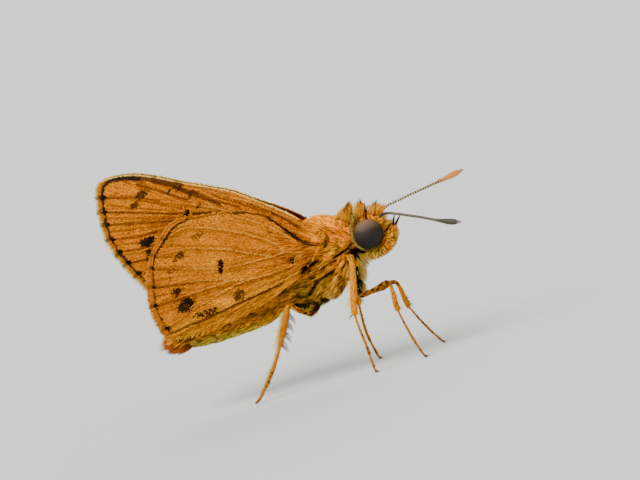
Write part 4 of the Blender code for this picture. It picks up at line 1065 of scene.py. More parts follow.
def template(name, points, faces):
    """One scale or hair, a unit long up Z and a unit wide, with its own patch of the unwrap."""
    mesh = mesh_from(name, np.array(points), faces)
    bm = bmesh.new()
    bm.from_mesh(mesh)
    bmesh.ops.recalc_face_normals(bm, faces=bm.faces)
    bm.to_mesh(mesh)
    bm.free()
    mesh.shade_smooth()
    set_values(mesh, "along", "FLOAT", [point[2] for point in points])
    set_values(mesh, "patch", "FLOAT_VECTOR", [(point[0], point[2] - 0.5, 0.0) for point in points])
    return mesh


def blade(name, rows, arc):
    """A closed three-sided hair through rows of height, width and thickness, bowed towards +Y."""
    points, faces = [(0.0, 0.0, 0.0)], [[0, 1, 2], [0, 2, 3], [0, 3, 1]]
    for share, width, thick in rows:
        bow = arc * math.sin(math.pi * share)
        points += [(-width / 2, bow, share), (0.0, bow + thick, share), (width / 2, bow, share)]
    tip = len(points)
    points.append((0.0, 0.0, 1.0))
    for a in range(1, tip - 3, 3):
        for k in range(3):
            j = (k + 1) % 3
            faces += [[a + k, a + j + 3, a + j], [a + k, a + k + 3, a + j + 3]]
    faces += [[tip - 3, tip, tip - 2], [tip - 2, tip, tip - 1], [tip - 1, tip, tip - 3]]
    return template(name, points, faces)


def shingle(name, shoulder, tip_width, thick):
    """A closed flat scale with a square tip, a little raised along its middle."""
    points = [
        (0.0, 0.0, 0.0), (-0.5, 0.0, shoulder), (-tip_width / 2, 0.0, 1.0),
        (tip_width / 2, 0.0, 1.0), (0.5, 0.0, shoulder), (0.0, thick, shoulder + 0.1),
    ]
    faces = [[i, (i + 1) % 5, 5] for i in range(5)] + [[0, 2, 1], [0, 3, 2], [0, 4, 3]]
    return template(name, points, faces)


def mapped(tree, geometry, fields, given):
    """Stores the unwrap: each blade has a small patch at the place of its root."""
    local = scaled(tree, fields["patch"], given.outputs["Patch"])
    spread = add_node(tree, "ShaderNodeVectorMath", {0: local, 1: fields["root"]}, operation="ADD")
    return add_node(
        tree, "GeometryNodeStoreNamedAttribute", {"Geometry": geometry, "Value": spread.outputs[0]},
        {"Name": "OFBake"}, data_type="FLOAT2", domain="CORNER",
    )


def coat_tree():
    """Sets a blade on each root, turned to its lie, and gives each blade its patch of the unwrap."""
    tree, given = new_tree(
        "coat", Roots="Geometry", Blades="Collection", Patch="Float", Seed="Int", Material="Material"
    )
    fields = {}
    for name in ("lie", "facing", "size", "root", "patch"):
        field = add_node(
            tree, "GeometryNodeInputNamedAttribute", values={"Name": name}, data_type="FLOAT_VECTOR"
        )
        fields[name] = field.outputs[0]
    axes = {"Primary Axis": fields["lie"], "Secondary Axis": fields["facing"]}
    turn = add_node(tree, "FunctionNodeAxesToRotation", axes, primary_axis="Z", secondary_axis="Y")
    blades = add_node(
        tree, "GeometryNodeCollectionInfo", {"Collection": given.outputs["Blades"]},
        {"Separate Children": True, "Reset Children": True},
    )
    pick = add_node(
        tree, "FunctionNodeRandomValue", {"Seed": given.outputs["Seed"]}, {4: 0, 5: 2}, data_type="INT"
    )
    links = {
        "Points": given.outputs["Roots"], "Instance": blades.outputs[0], "Instance Index": pick.outputs[2],
        "Rotation": turn.outputs[0], "Scale": fields["size"],
    }
    placed = add_node(tree, "GeometryNodeInstanceOnPoints", links, {"Pick Instance": True})
    whole = add_node(tree, "GeometryNodeRealizeInstances", {"Geometry": placed.outputs[0]})
    last = mapped(tree, whole.outputs[0], fields, given)
    for name in fields:
        last = add_node(tree, "GeometryNodeRemoveAttribute", {"Geometry": last.outputs[0]}, {"Name": name})
    return finish_tree(tree, last, given)


def blade_set(name, make, shapes):
    """A collection of the three shapes that one coat draws from."""
    group = bpy.data.collections.new(name)
    for i, shape in enumerate(shapes):
        group.objects.link(bpy.data.objects.new(f"{name}_{i}", make(f"{name}_{i}", *shape)))
    return group


HAIRS = blade_set("hairs", blade, (
    (((0.3, 1.0, 0.6), (0.75, 0.75, 0.4)), 0.1),
    (((0.35, 1.0, 0.6), (0.7, 0.85, 0.5)), 0.16),
    (((0.25, 0.9, 0.6), (0.75, 0.6, 0.4)), 0.05),
))
SCALES = blade_set("scales", shingle, ((0.45, 0.75, 0.08), (0.4, 0.6, 0.1), (0.5, 0.85, 0.06)))
COAT = coat_tree()


def scale_material(name, root_shade, tip_shade):
    """Hair or scale of chitin: dry and matt, with painted shade darkening it towards its root and painted
    light brightening it towards its tip.
    """
    made, tree, shader = new_material(name, 0.7, 0.02)
    tint, tip, along = (
        add_node(tree, "ShaderNodeAttribute", attribute_name=field) for field in ("tint", "tip", "along")
    )
    span = {"Value": along.outputs["Fac"]}
    near_tip = add_node(tree, "ShaderNodeMapRange", span, {"From Min": 0.55, "From Max": 0.95})
    links = {"Factor": near_tip.outputs[0], 6: tint.outputs["Color"], 7: tip.outputs["Color"]}
    whole = add_node(tree, "ShaderNodeMix", links, data_type="RGBA")
    shade = add_node(tree, "ShaderNodeMapRange", span, {"To Min": root_shade, "To Max": tip_shade})
    tree.links.new(scaled(tree, whole.outputs[2], shade.outputs[0]), shader.inputs["Base Color"])
    return made


def grow_coat(name, roots, blades, made_of, seed):
    """Grows a coat from its roots: their points, lie, facing, width, colours and unwrap places."""
    mesh = mesh_from(name, roots["points"], [])
    width, lengths = roots["width"], np.linalg.norm(roots["lie"], axis=1)
    vectors = {
        "lie": unit(roots["lie"]),
        "facing": roots["facing"],
        "size": np.column_stack([width, np.minimum(width, lengths), lengths]),
        "root": np.column_stack([roots["uv"], np.zeros(len(lengths))]),
    }
    for field, values in vectors.items():
        set_values(mesh, field, "FLOAT_VECTOR", values)
    for field in ("tint", "tip"):
        set_colours(mesh, field, roots[field])
    inputs = {"Blades": blades, "Patch": PATCH, "Seed": seed, "Material": made_of}
    obj = in_model(name, grown(name, mesh, COAT, inputs))
    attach(obj, "root")


def merged(batches):
    return {key: np.concatenate([batch[key] for batch in batches]) for key in batches[0]}


def picked(roots, keep):
    return {key: values[keep] for key, values in roots.items()}


# Hair scales: long and dry, with painted shade at their roots and painted light at their tips, which
# gives the fur its depth. Wing scales: flat shingles of the same chitin, nearly even from root to tip.
fur = scale_material("hair_scales", 0.65, 1.2)
scales = scale_material("wing_scales", 0.85, 1.08)

# Wing scales: overlapping shingles in rows on both sides of the membranes. Real ones are about
# 0.1 by 0.05 mm, and these are a little larger so that they show.
SCALE_SPACING = 0.074
SCALE_LENGTH = 0.15
SCALE_WIDTH = 0.085
SCALE_LIFT = 0.004
UPPER_COAT = {"forewing": 1.6, "hindwing": 0.8}
SLOPE_STEP = 0.02
HINGE = (-0.6, 7.6)


def turned_flow(flow, turn):
    """Directions in side view, each turned by its own angle."""
    return np.column_stack([
        flow[:, 0] * np.cos(turn) - flow[:, 1] * np.sin(turn),
        flow[:, 0] * np.sin(turn) + flow[:, 1] * np.cos(turn),
    ])


def along_surface(lie, normal):
    return unit(lie - normal * (lie * normal).sum(1)[:, None])


def scale_places(kind, side, outer, rim):
    """Where scales stand on one face of a wing, in side view: only where something of it shows."""
    flat = jittered_grid(rim, SCALE_SPACING, 0.02, 61 + 2 * outer + (side > 0))
    if not outer:
        depth = rim_distance(flat, rim)
        return flat[(depth > 0.1) & (depth < UPPER_COAT[kind])]
    if kind == "hindwing":
        return flat
    hidden = within(flat, closed_path(HIND_RIM, 0.1)) & (rim_distance(flat, HIND_RIM) > 0.35)
    return flat[~hidden]


def wing_roots(kind, side, outer):
    """Roots of the scales on one face of a wing."""
    rim_knots, veins, middle_y, lines, spots, base = WINGS[kind]
    rim = closed_path(rim_knots, 0.1)
    flat = scale_places(kind, side, outer, rim)
    edge = eased(rim_distance(flat, rim) / 0.12)
    face = 1 if outer else -1
    middle = wing_middle(flat, veins, middle_y, edge)
    surface = middle + face * (half_thickness(edge) + SCALE_LIFT)
    slopes = np.column_stack([
        (wing_middle(flat + shift, veins, middle_y, edge) - middle) / SLOPE_STEP
        for shift in ((SLOPE_STEP, 0), (0, SLOPE_STEP))
    ])
    normal = unit(in_space(-slopes, 1.0) * face)
    rng = np.random.default_rng(71 + outer)
    lie = in_space(turned_flow(unit(flat - HINGE), rng.normal(0, 0.12, len(flat))), 0.0)
    lie = along_surface(lie, normal)
    lie = unit(lie + normal * rng.uniform(0.06, 0.2, len(flat))[:, None])
    length = SCALE_LENGTH * rng.uniform(0.85, 1.15, len(flat))
    if outer:
        tint = wing_tint(flat, veins, lines, spots, base)
    else:
        rust = eased((flat[:, 0] + 5) / 2) * eased(rim_distance(flat, rim) / 0.2 - 0.6)
        tint = painted(np.tile(linear(UPPER_SIDE), (len(flat), 1)), rng.random(len(flat)) * 0.35, "#2A1810")
        tint = painted(tint, rust * 0.8, "#A8481A")
    tint *= rng.uniform(0.84, 1.16, len(flat))[:, None]
    turned = np.array([1.0, side, 1.0])
    low, high = rim.min(0), rim.max(0)
    uv = 0.02 + 0.46 * (flat - low) / (high - low).max() + (0.0 if outer else 0.5)
    return {
        "points": in_space(flat, surface) * turned,
        "lie": lie * length[:, None] * turned,
        "facing": normal * turned,
        "width": SCALE_WIDTH * rng.uniform(0.85, 1.1, len(flat)),
        "tint": tint,
        "tip": tint * 1.05,
        "uv": uv,
    }


for kind in WINGS:
    for side_name, side in SIDES.items():
        roots = merged([wing_roots(kind, side, True), wing_roots(kind, side, False)])
        grow_coat(f"{kind}_scales_{side_name}", roots, SCALES, scales, 3)

# Wing fringes: long narrow scales in rows along the outer edges, brown with a cream outer edge on
# the forewing and orange on the hindwing, and a thin cream line of them along the front edge.
COSTA = (
    (-11.2, 14.36), (-10.9, 14.46), (-10.1, 14.46), (-9.0, 14.24), (-8.0, 13.83), (-7.0, 13.33),
    (-6.0, 12.85), (-5.0, 12.39), (-4.0, 11.89), (-3.0, 11.18), (-2.0, 10.49), (-1.32, 9.98), (-0.7, 9.45),
)
FORE_FRINGE = ((-11.05, 14.38), *FORE_TERMEN[1:])
FRINGE_STEP = 0.016
FRINGES = (  # wing, edge, start outside it, length, widths, lean along it in degrees, colours at root and tip
    ("forewing", FORE_FRINGE, -0.05, 0.32, 0.06, 0, "#E08A14", "#D88418"),
    ("forewing", FORE_FRINGE, 0.0, 0.34, 0.055, 0, "#CC8018", "#ECB04C"),
    ("forewing", FORE_FRINGE, 0.16, 0.26, 0.05, 0, "#F4D078", "#FFFAD0"),
    ("forewing", COSTA, 0.0, 0.14, 0.05, 80, "#FFB83C", "#FFD868"),
    ("forewing", COSTA, 0.0, 0.14, 0.045, 84, "#FFD878", "#FFEC98"),
    ("hindwing", HIND_TERMEN, -0.05, 0.34, 0.06, 0, "#CC740C", "#D07C10"),
    ("hindwing", HIND_TERMEN, 0.0, 0.4, 0.055, 0, "#C8700C", "#E08C18"),
    ("hindwing", HIND_TERMEN, 0.1, 0.38, 0.04, 0, "#CC7810", "#F4AC38"),
)


def fringe_roots(row, side):
    """Roots of one row of a fringe, darker where a vein ends and shorter towards the row's ends."""
    kind, termen, start, length, width, lean, root_colour, tip_colour = FRINGES[row]
    veins, middle_y = WINGS[kind][1:3]
    rng = np.random.default_rng(81 + row)
    path = smooth_path(termen, FRINGE_STEP)
    out = unit(np.column_stack([-np.gradient(path[:, 1]), np.gradient(path[:, 0])]))
    out *= np.where(((path - (-6.0, 9.5)) * out).sum(1) > 0, 1, -1)[:, None]
    flat = path + out * start + rng.normal(0, 0.012, path.shape)
    ticks = np.min([np.linalg.norm(path - vein[-1], axis=1) for vein in veins], axis=0) < 0.13
    fan = turned_flow(out, rng.normal(math.radians(lean), 0.17, len(path)))
    ends = np.minimum(np.arange(len(path)), np.arange(len(path))[::-1]) * FRINGE_STEP
    reach_out = length * rng.uniform(0.6, 1.15, len(path)) * (0.6 + 0.4 * eased(ends / 0.5))
    if kind == "hindwing":
        reach_out *= 1 - 0.62 * eased((flat[:, 1] - 8.3) / 0.9)
    shade = rng.uniform(0.65, 1.2, len(path))[:, None]
    return {
        "points": in_space(flat, side * (middle_y(flat) + 0.014 * (row % 3))),
        "lie": in_space(fan, rng.normal(0, 0.07, len(path))) * reach_out[:, None],
        "facing": np.tile((0.0, side * 1.0, 0.0), (len(path), 1)),
        "width": width * rng.uniform(0.8, 1.2, len(path)),
        "tint": painted(linear(root_colour) * shade, ticks * 0.6, "#3A2818"),
        "tip": painted(linear(tip_colour) * shade, ticks * 0.25, "#3A2818"),
        "uv": np.column_stack([np.linspace(0.05, 0.95, len(path)), np.full(len(path), 0.1 * row + 0.1)]),
    }


for kind in WINGS:
    rows = [row for row, fringe in enumerate(FRINGES) if fringe[0] == kind]
    for side_name, side in SIDES.items():
        roots = merged([fringe_roots(row, side) for row in rows])
        grow_coat(f"{kind}_fringe_{side_name}", roots, HAIRS, scales, 4)

# Body fur: long hair-like scales on the trunk, head and hips, in small clumps. It lies back
# along the thorax, hangs under it, and stands up on the crown.
GROOM = np.array((  # x, z, angle of the lie, length, rise in degrees, width
    (0.0, 9.3, 155, 0.5, 22, 0.045),
    (1.0, 9.3, 145, 0.5, 25, 0.045),
    (1.7, 9.0, 125, 0.5, 28, 0.045),
    (1.6, 8.4, 140, 0.5, 22, 0.045),
    (0.8, 8.7, 145, 0.55, 18, 0.045),
    (-0.5, 8.9, 160, 0.6, 12, 0.045),
    (1.4, 7.8, 155, 0.5, 18, 0.04),
    (0.6, 8.0, 160, 0.5, 14, 0.04),
    (1.2, 7.3, 170, 0.55, 14, 0.04),
    (0.4, 7.2, 180, 0.55, 12, 0.04),
    (0.8, 6.6, 192, 0.55, 14, 0.038),
    (0.0, 6.3, 200, 0.6, 14, 0.038),
    (-0.8, 6.6, 185, 0.5, 12, 0.038),
    (0.3, 5.6, 207, 0.7, 12, 0.038),
    (-0.4, 5.2, 205, 0.6, 10, 0.038),
    (-0.2, 4.6, 208, 0.4, 8, 0.035),
    (0.5, 4.9, 208, 0.45, 8, 0.035),
    (-1.3, 5.6, 178, 0.65, 13, 0.038),
    (-1.8, 6.3, 190, 0.6, 12, 0.038),
    (-1.6, 4.9, 185, 0.6, 14, 0.038),
    (-1.0, 4.3, 200, 0.35, 12, 0.035),
    (1.2, 6.0, 215, 0.7, 18, 0.045),
    (1.9, 6.3, 262, 0.5, 18, 0.04),
    (1.7, 5.5, 262, 0.4, 14, 0.04),
    (1.5, 4.8, 262, 0.3, 12, 0.04),
    (-3.0, 5.6, 188, 0.6, 8, 0.05),
    (-3.0, 4.4, 186, 0.45, 8, 0.05),
    (-5.0, 5.0, 186, 0.4, 6, 0.055),
    (-8.0, 4.5, 184, 0.45, 7, 0.055),
    (-9.5, 4.4, 180, 0.65, 12, 0.055),
    (2.3, 8.6, 95, 0.3, 20, 0.035),
    (2.15, 7.6, 95, 0.2, 10, 0.035),
    (2.5, 6.6, 262, 0.5, 24, 0.035),
    (3.0, 6.4, 275, 0.38, 30, 0.035),
    (3.5, 6.5, 290, 0.38, 32, 0.035),
    (4.0, 6.8, 318, 0.36, 30, 0.035),
    (4.3, 7.2, 25, 0.34, 26, 0.035),
    (4.25, 7.6, 70, 0.2, 20, 0.03),
    (3.9, 8.0, 65, 0.18, 25, 0.03),
    (3.4, 8.5, 80, 0.25, 30, 0.035),
    (2.9, 8.7, 95, 0.25, 30, 0.035),
))
FUR_COUNT = 46000
COMB_REACH = 0.4

corner_places = {}
for loop in body_mesh.loops:
    corner_places[loop.vertex_index] = body_uv[loop.index]
skin_uv = np.array([corner_places[i] for i in range(len(body_points))])
skin_tree = tree_of(body_points)


def skin_places(points):
    """The places on the skin's unwrap of the skin nearest to each point."""
    return skin_uv[[skin_tree.find(point)[1] for point in points]]


def comb(points):
    """The lie's angle, length, rise and width at each point, from the nearest places of the groom."""
    offset = points[:, None, (0, 2)] - GROOM[None, :, :2]
    weight = np.exp(-(offset**2).sum(-1) / (2 * COMB_REACH**2)) + 1e-9
    weight /= weight.sum(1, keepdims=True)
    angle = np.radians(GROOM[:, 2])
    flow = weight @ np.column_stack([np.cos(angle), np.sin(angle)])
    length, rise, width = (weight @ GROOM[:, k] for k in (3, 4, 5))
    return unit(flow), length, np.radians(rise), width


def scattered(mesh, count, weigh, seed):
    """Random points on a mesh, and its normals there."""
    points, triangles, normals = mesh_arrays(mesh)
    corners = points[triangles]
    area = np.linalg.norm(np.cross(corners[:, 1] - corners[:, 0], corners[:, 2] - corners[:, 0]), axis=1)
    area *= weigh(corners.mean(1))
    rng = np.random.default_rng(seed)
    chosen = rng.choice(len(triangles), count, p=area / area.sum())
    shares = rng.dirichlet((1, 1, 1), count)[..., None]
    return (corners[chosen] * shares).sum(1), unit((normals[triangles[chosen]] * shares).sum(1))


def clumped(points, lie, spacing, share, seed):
    """Draws the tips of neighbouring hairs together, as in tufts."""
    rng = np.random.default_rng(seed)
    leaders = rng.choice(len(points), max(1, int(len(points) / spacing)), replace=False)
    tree = tree_of(points[leaders])
    nearest = leaders[[tree.find(point)[1] for point in points]]
    tips = points + lie
    drawn = tips[nearest] * share + tips * (1 - share) - points
    return unit(drawn) * np.linalg.norm(lie, axis=1, keepdims=True)


# Furrows where the fur parts, in side view: between the plates of the thorax, behind the head.
FURROWS = (
    ((2.19, 8.88), (2.05, 8.3), (2.0, 7.83), (1.9, 7.3)),
    ((1.85, 7.25), (1.47, 7.02), (1.09, 6.91)),
    ((-0.87, 6.62), (-0.54, 6.81), (-0.16, 6.86)),
    ((-0.72, 6.7), (-0.76, 6.04), (-0.72, 5.69), (-0.91, 5.4), (-1.3, 5.09)),
    ((-0.62, 5.8), (-0.19, 5.89), (0.27, 6.04)),
)


def fur_weight(centres):
    """How thick the fur grows: none under the eyes' domes, little in the furrows and under the wings."""
    x, y, z = centres.T
    eye = np.hypot(x - EYE_CENTRE[0], z - EYE_CENTRE[2])
    weight = np.where((np.abs(y) > 0.55) & (eye < 0.8), 0.0, 1.0)
    weight *= np.where((x < -1.6) & (z > 6.6), 0.1, 1.0)
    weight *= np.where(x < -2.4, 0.45, 1.0)
    weight *= np.where(x > 2.0, 1.3, 1.0)
    furrow = np.min([reach(centres[:, (0, 2)], line) for line in FURROWS], axis=0)
    return weight * (0.25 + 0.75 * eased(furrow / 0.1))


def fur_lie(points, normals, rng):
    """How each hair lies, groomed along the skin and drawn into clumps, and its width."""
    flow, length, rise, width = comb(points)
    turn = rng.normal(0, 0.16, len(points)) + 0.6 * (mottle(points, (0.4, 0.4, 0.25), 93) - 0.5)
    flat = along_surface(in_space(turned_flow(flow, turn), 0.0), normals)
    rise = rise * rng.uniform(0.6, 1.4, len(points))
    length = length * rng.uniform(0.65, 1.2, len(points))
    lie = (flat * np.cos(rise)[:, None] + normals * np.sin(rise)[:, None]) * length[:, None]
    return clumped(points, lie, 12, 0.4, 94), width


def fur_roots():
    """Roots of the fur on the trunk, the head and the middle legs' hips."""
    points, normals = scattered(body_mesh, FUR_COUNT, fur_weight, 91)
    bare = np.zeros(len(points), bool)
    for leg in LEGS:
        if not leg.startswith("midleg"):
            bare |= place_on_leg(leg, points)[1]
    points, normals = points[~bare], normals[~bare]
    rng = np.random.default_rng(92)
    sideways = np.outer(np.sign(points[:, 1]) * (np.abs(points[:, 1]) > 0.8), (0.0, 1.5, 0.0))
    normals = unit(normals + sideways * (points[:, 0] < 1.6)[:, None])
    lie, width = fur_lie(points, normals, rng)
    # Lighter hairs inside each lock and darker ones, with more dark hairs, between the locks: partly the
    # fur's own dark hairs, partly painted shade between the locks.
    lock = mottle(points, (0.13, 0.13, 0.13), 95)
    shade = (rng.uniform(0.65, 1.4, len(points)) * (0.55 + lock))[:, None]
    share = np.where(points[:, 2] < 6.8, 0.3, 0.13) * np.where(points[:, 0] < -2.4, 0.5, 1.0)
    dark = (rng.random(len(points)) < share * (2 - 2 * lock)) * 0.9
    return {
        "points": points - normals * 0.02,
        "lie": lie,
        "facing": normals,
        "width": width * rng.uniform(0.6, 1.1, len(points)),
        "tint": painted(body_tint(points + lie * 0.3) * shade, dark, "#241804"),
        "tip": painted(body_tint(points + lie * 0.9) * shade * 1.15, dark, "#241804"),
        "uv": skin_places(points),
    }


roots = fur_roots()
for side_name, side in SIDES.items():
    own_side = np.sign(roots["points"][:, 1] + 1e-9) == side
    front = roots["points"][:, 0] > 0.6
    grow_coat("fur_front_" + side_name, picked(roots, own_side & front), HAIRS, fur, 5)
    grow_coat("fur_rear_" + side_name, picked(roots, own_side & ~front), HAIRS, fur, 6)

# Tufts: stiff upright brushes of longer scales on the collar, crown and face, the beards under
# the head, and the brush at the tail. Each stands on a line of roots and fans out to its tips. One
# that is wider than the body stands on the two hindwings only.
WIDEST_BODY = 1.5
TUFTS = (  # roots from and to, tips from and to (x, z); half widths at roots and tips; peak; count; colours
    ((1.98, 8.2), (2.15, 8.6), (2.08, 8.9), (2.26, 9.15), 0.62, 0.72, 0.1, 150, "#241804", "#1E1204"),
    ((2.2, 8.3), (2.4, 8.6), (2.26, 9.0), (2.42, 9.35), 0.62, 0.72, 0.2, 200, "#E8C050", "#FFE890"),
    ((1.7, 6.95), (2.45, 6.9), (1.75, 6.2), (2.45, 6.45), 0.6, 0.66, 0.1, 340, "#1A1204", "#241A08"),
    ((1.55, 8.7), (2.05, 8.3), (1.76, 9.26), (2.42, 9.72), 0.75, 0.85, 0.1, 640, "#FAAC24", "#D4881C"),
    ((1.6, 8.7), (2.0, 8.6), (2.0, 9.45), (2.34, 9.74), 0.65, 0.75, 0.08, 280, "#8A4A10", "#2E1A0C"),
    ((1.2, 8.8), (1.7, 8.75), (1.35, 9.1), (1.95, 9.5), 0.6, 0.7, 0.1, 240, "#F5A81C", "#FFC030"),
    ((2.35, 8.4), (2.85, 8.55), (2.5, 9.45), (3.1, 9.5), 0.6, 0.72, 0.18, 620, "#FFB028", "#E0901C"),
    ((2.38, 8.4), (2.55, 8.5), (2.38, 9.3), (2.6, 9.65), 0.6, 0.7, 0.1, 200, "#FFD860", "#FFD048"),
    ((2.6, 8.5), (2.85, 8.55), (2.68, 9.4), (2.98, 9.76), 0.3, 0.35, 0.15, 130, "#A85A10", "#1E140C"),
    ((2.7, 8.5), (2.95, 8.5), (2.85, 9.2), (3.08, 9.4), 0.6, 0.7, 0.1, 90, "#C86808", "#8A4408"),
    ((2.95, 8.5), (3.02, 8.5), (3.1, 9.2), (3.3, 9.32), 0.5, 0.55, 0.1, 20, "#3A1E10", "#4A2E14"),
    ((3.05, 8.45), (3.7, 8.35), (3.42, 9.3), (4.34, 8.9), 0.45, 0.6, 0.14, 640, "#FFA81C", "#FCA420"),
    ((3.1, 8.5), (3.6, 8.4), (3.55, 9.2), (4.1, 9.05), 0.5, 0.62, 0.1, 160, "#FFC040", "#FFCC50"),
    ((3.2, 8.5), (3.5, 8.5), (3.62, 9.25), (3.88, 9.38), 0.35, 0.4, 0.15, 70, "#8A4A10", "#1E140C"),
    ((3.1, 8.5), (3.7, 8.4), (3.4, 9.15), (4.25, 8.9), 0.45, 0.6, 0.2, 110, "#A84C04", "#8A3A04"),
    ((3.6, 7.85), (3.65, 8.4), (4.15, 8.05), (4.34, 8.5), 0.35, 0.5, 0.15, 260, "#FFB428", "#FFDC78"),
    ((3.65, 7.5), (3.7, 7.85), (4.4, 7.45), (4.52, 8.0), 0.55, 0.6, 0.1, 260, "#FFB42C", "#FFD468"),
    ((3.5, 7.3), (4.05, 7.6), (4.12, 7.6), (4.42, 7.9), 0.68, 0.76, 0.1, 120, "#2E1C0C", "#1E1408"),
    ((2.4, 6.6), (3.6, 6.5), (2.5, 6.0), (3.75, 6.15), 0.62, 0.66, 0.05, 520, "#E4BA38", "#FCE484"),
    ((3.5, 6.5), (4.25, 7.3), (3.9, 6.28), (4.64, 7.1), 0.66, 0.74, 0.05, 480, "#F2B62C", "#FFE47C"),
    ((3.6, 6.7), (4.2, 7.3), (3.95, 6.5), (4.55, 7.2), 0.7, 0.8, 0.05, 120, "#7A4410", "#5A300C"),
    ((1.95, 6.75), (2.3, 6.55), (2.2, 5.6), (2.75, 5.9), 0.6, 0.6, 0.1, 420, "#D0A83C", "#F8DC88"),
    ((1.85, 6.5), (1.72, 5.3), (2.3, 5.5), (1.98, 4.75), 0.8, 0.8, 0.1, 460, "#D0A83C", "#F8DC88"),
    ((1.75, 5.0), (1.6, 4.6), (2.0, 4.35), (1.75, 4.1), 0.75, 0.78, 0.1, 50, "#D0A83C", "#F8DC88"),
    ((-2.4, 4.75), (-1.0, 4.6), (-2.5, 4.45), (-1.3, 4.1), 0.8, 1.0, 0.1, 420, "#3A3008", "#241C06"),
    ((-1.2, 4.6), (0.0, 4.7), (-1.6, 4.05), (-0.5, 4.25), 0.7, 0.85, 0.1, 380, "#3A2C08", "#8A7A20"),
    ((-2.2, 4.6), (-0.9, 4.5), (-2.3, 4.0), (-1.1, 3.6), 0.3, 0.4, 0.4, 60, "#C8B848", "#F0E080"),
    ((-8.8, 5.0), (-8.9, 3.85), (-10.65, 4.8), (-10.45, 3.65), 0.4, 0.6, 0.24, 900, "#BC6418", "#AC5A1C"),
    ((-8.6, 4.6), (-8.7, 3.8), (-10.0, 4.4), (-9.75, 3.55), 0.55, 0.7, 0.14, 500, "#C06C1C", "#A85818"),
    ((-9.2, 4.9), (-9.3, 3.9), (-10.35, 4.7), (-10.2, 4.0), 0.3, 0.55, 0.2, 240, "#D88424", "#D07818"),
    ((-7.6, 4.75), (-9.2, 4.8), (-8.0, 4.3), (-9.6, 4.5), 1.6, 1.64, 0.1, 150, "#3A2408", "#241604"),
    ((-7.4, 4.85), (-9.2, 4.9), (-7.9, 4.4), (-9.7, 4.5), 1.62, 1.68, 0.1, 110, "#E8A01C", "#FFC848"),
)


def tuft_roots(tuft, seed):
    """Roots of one brush: a fan between a line of roots and a line of tips, peaked in the middle."""
    root_from, root_to, tip_from, tip_to, root_half, tip_half, peak, count, root_colour, tip_colour = tuft
    rng = np.random.default_rng(seed)
    share, side = rng.random((2, count))
    across = 2 * side - 1
    if root_half > WIDEST_BODY:
        across = np.sign(across)
    start = np.outer(1 - share, root_from) + np.outer(share, root_to)
    end = np.outer(1 - share, tip_from) + np.outer(share, tip_to)
    height = (1 - peak * np.abs(2 * share - 1) - 0.2 * across**2) * rng.uniform(0.6, 1.1, count)
    lean = end - start + rng.normal(0, 0.06, start.shape)
    points = in_space(start, across * root_half)
    lie = in_space(lean, across * (tip_half - root_half) + rng.normal(0, 0.04, count))
    lie = clumped(points, lie * height[:, None], 7, 0.2, seed + 1)
    shade = rng.uniform(0.5, 1.25, count)[:, None]
    facing = np.column_stack([rng.normal(0, 0.4, count), np.sign(across), rng.normal(0, 0.4, count)])
    return {
        "points": points,
        "lie": lie,
        "facing": facing,
        "width": 0.03 * rng.uniform(0.6, 1.2, count),
        "tint": linear(root_colour) * shade,
        "tip": linear(tip_colour) * shade,
        "uv": skin_places(points),
    }


EYE_BORDER = ((2.42, 8.8), (2.16, 8.35), (2.02, 7.9), (2.02, 7.4), (2.16, 7.0), (2.4, 6.75))


def ring_roots(side):
    """Roots of the cream scales that stand behind the eye."""
    rng = np.random.default_rng(131)
    path = smooth_path(EYE_BORDER, 0.004)
    count = len(path)
    flat = path + rng.normal(0, 0.05, path.shape)
    away = unit(flat - (EYE_CENTRE[0], EYE_CENTRE[2]))
    points = in_space(flat, side * 0.62)
    lie = in_space(away * 0.02 + (0.0, 0.12), side * 0.26)
    lie = lie * rng.uniform(0.3, 1.2, count)[:, None] + rng.normal(0, 0.05, lie.shape)
    tint = linear("#FFDC78") * rng.uniform(0.25, 1.2, count)[:, None]
    return {
        "points": points,
        "lie": lie,
        "facing": in_space(away, 0.0),
        "width": np.full(count, 0.03),
        "tint": tint,
        "tip": tint,
        "uv": skin_places(points),
    }


brushes = [tuft_roots(tuft, 101 + 2 * i) for i, tuft in enumerate(TUFTS)]
brushes += [ring_roots(side) for side in SIDES.values()]
grow_coat("tufts", merged(brushes), HAIRS, fur, 7)

# Hair at the wings' roots: fine silky scales that run out from the thorax over each wing, and
# along the fold of the hindwing by the abdomen.
ROOT_HAIR = {"forewing": 900, "hindwing": 3800}
HAIR_CENTRE = (0.9, 7.5)
WING_FOLD = ((-9.2, 4.7), (-6.0, 5.25), (-3.0, 5.9), (-1.2, 6.6))


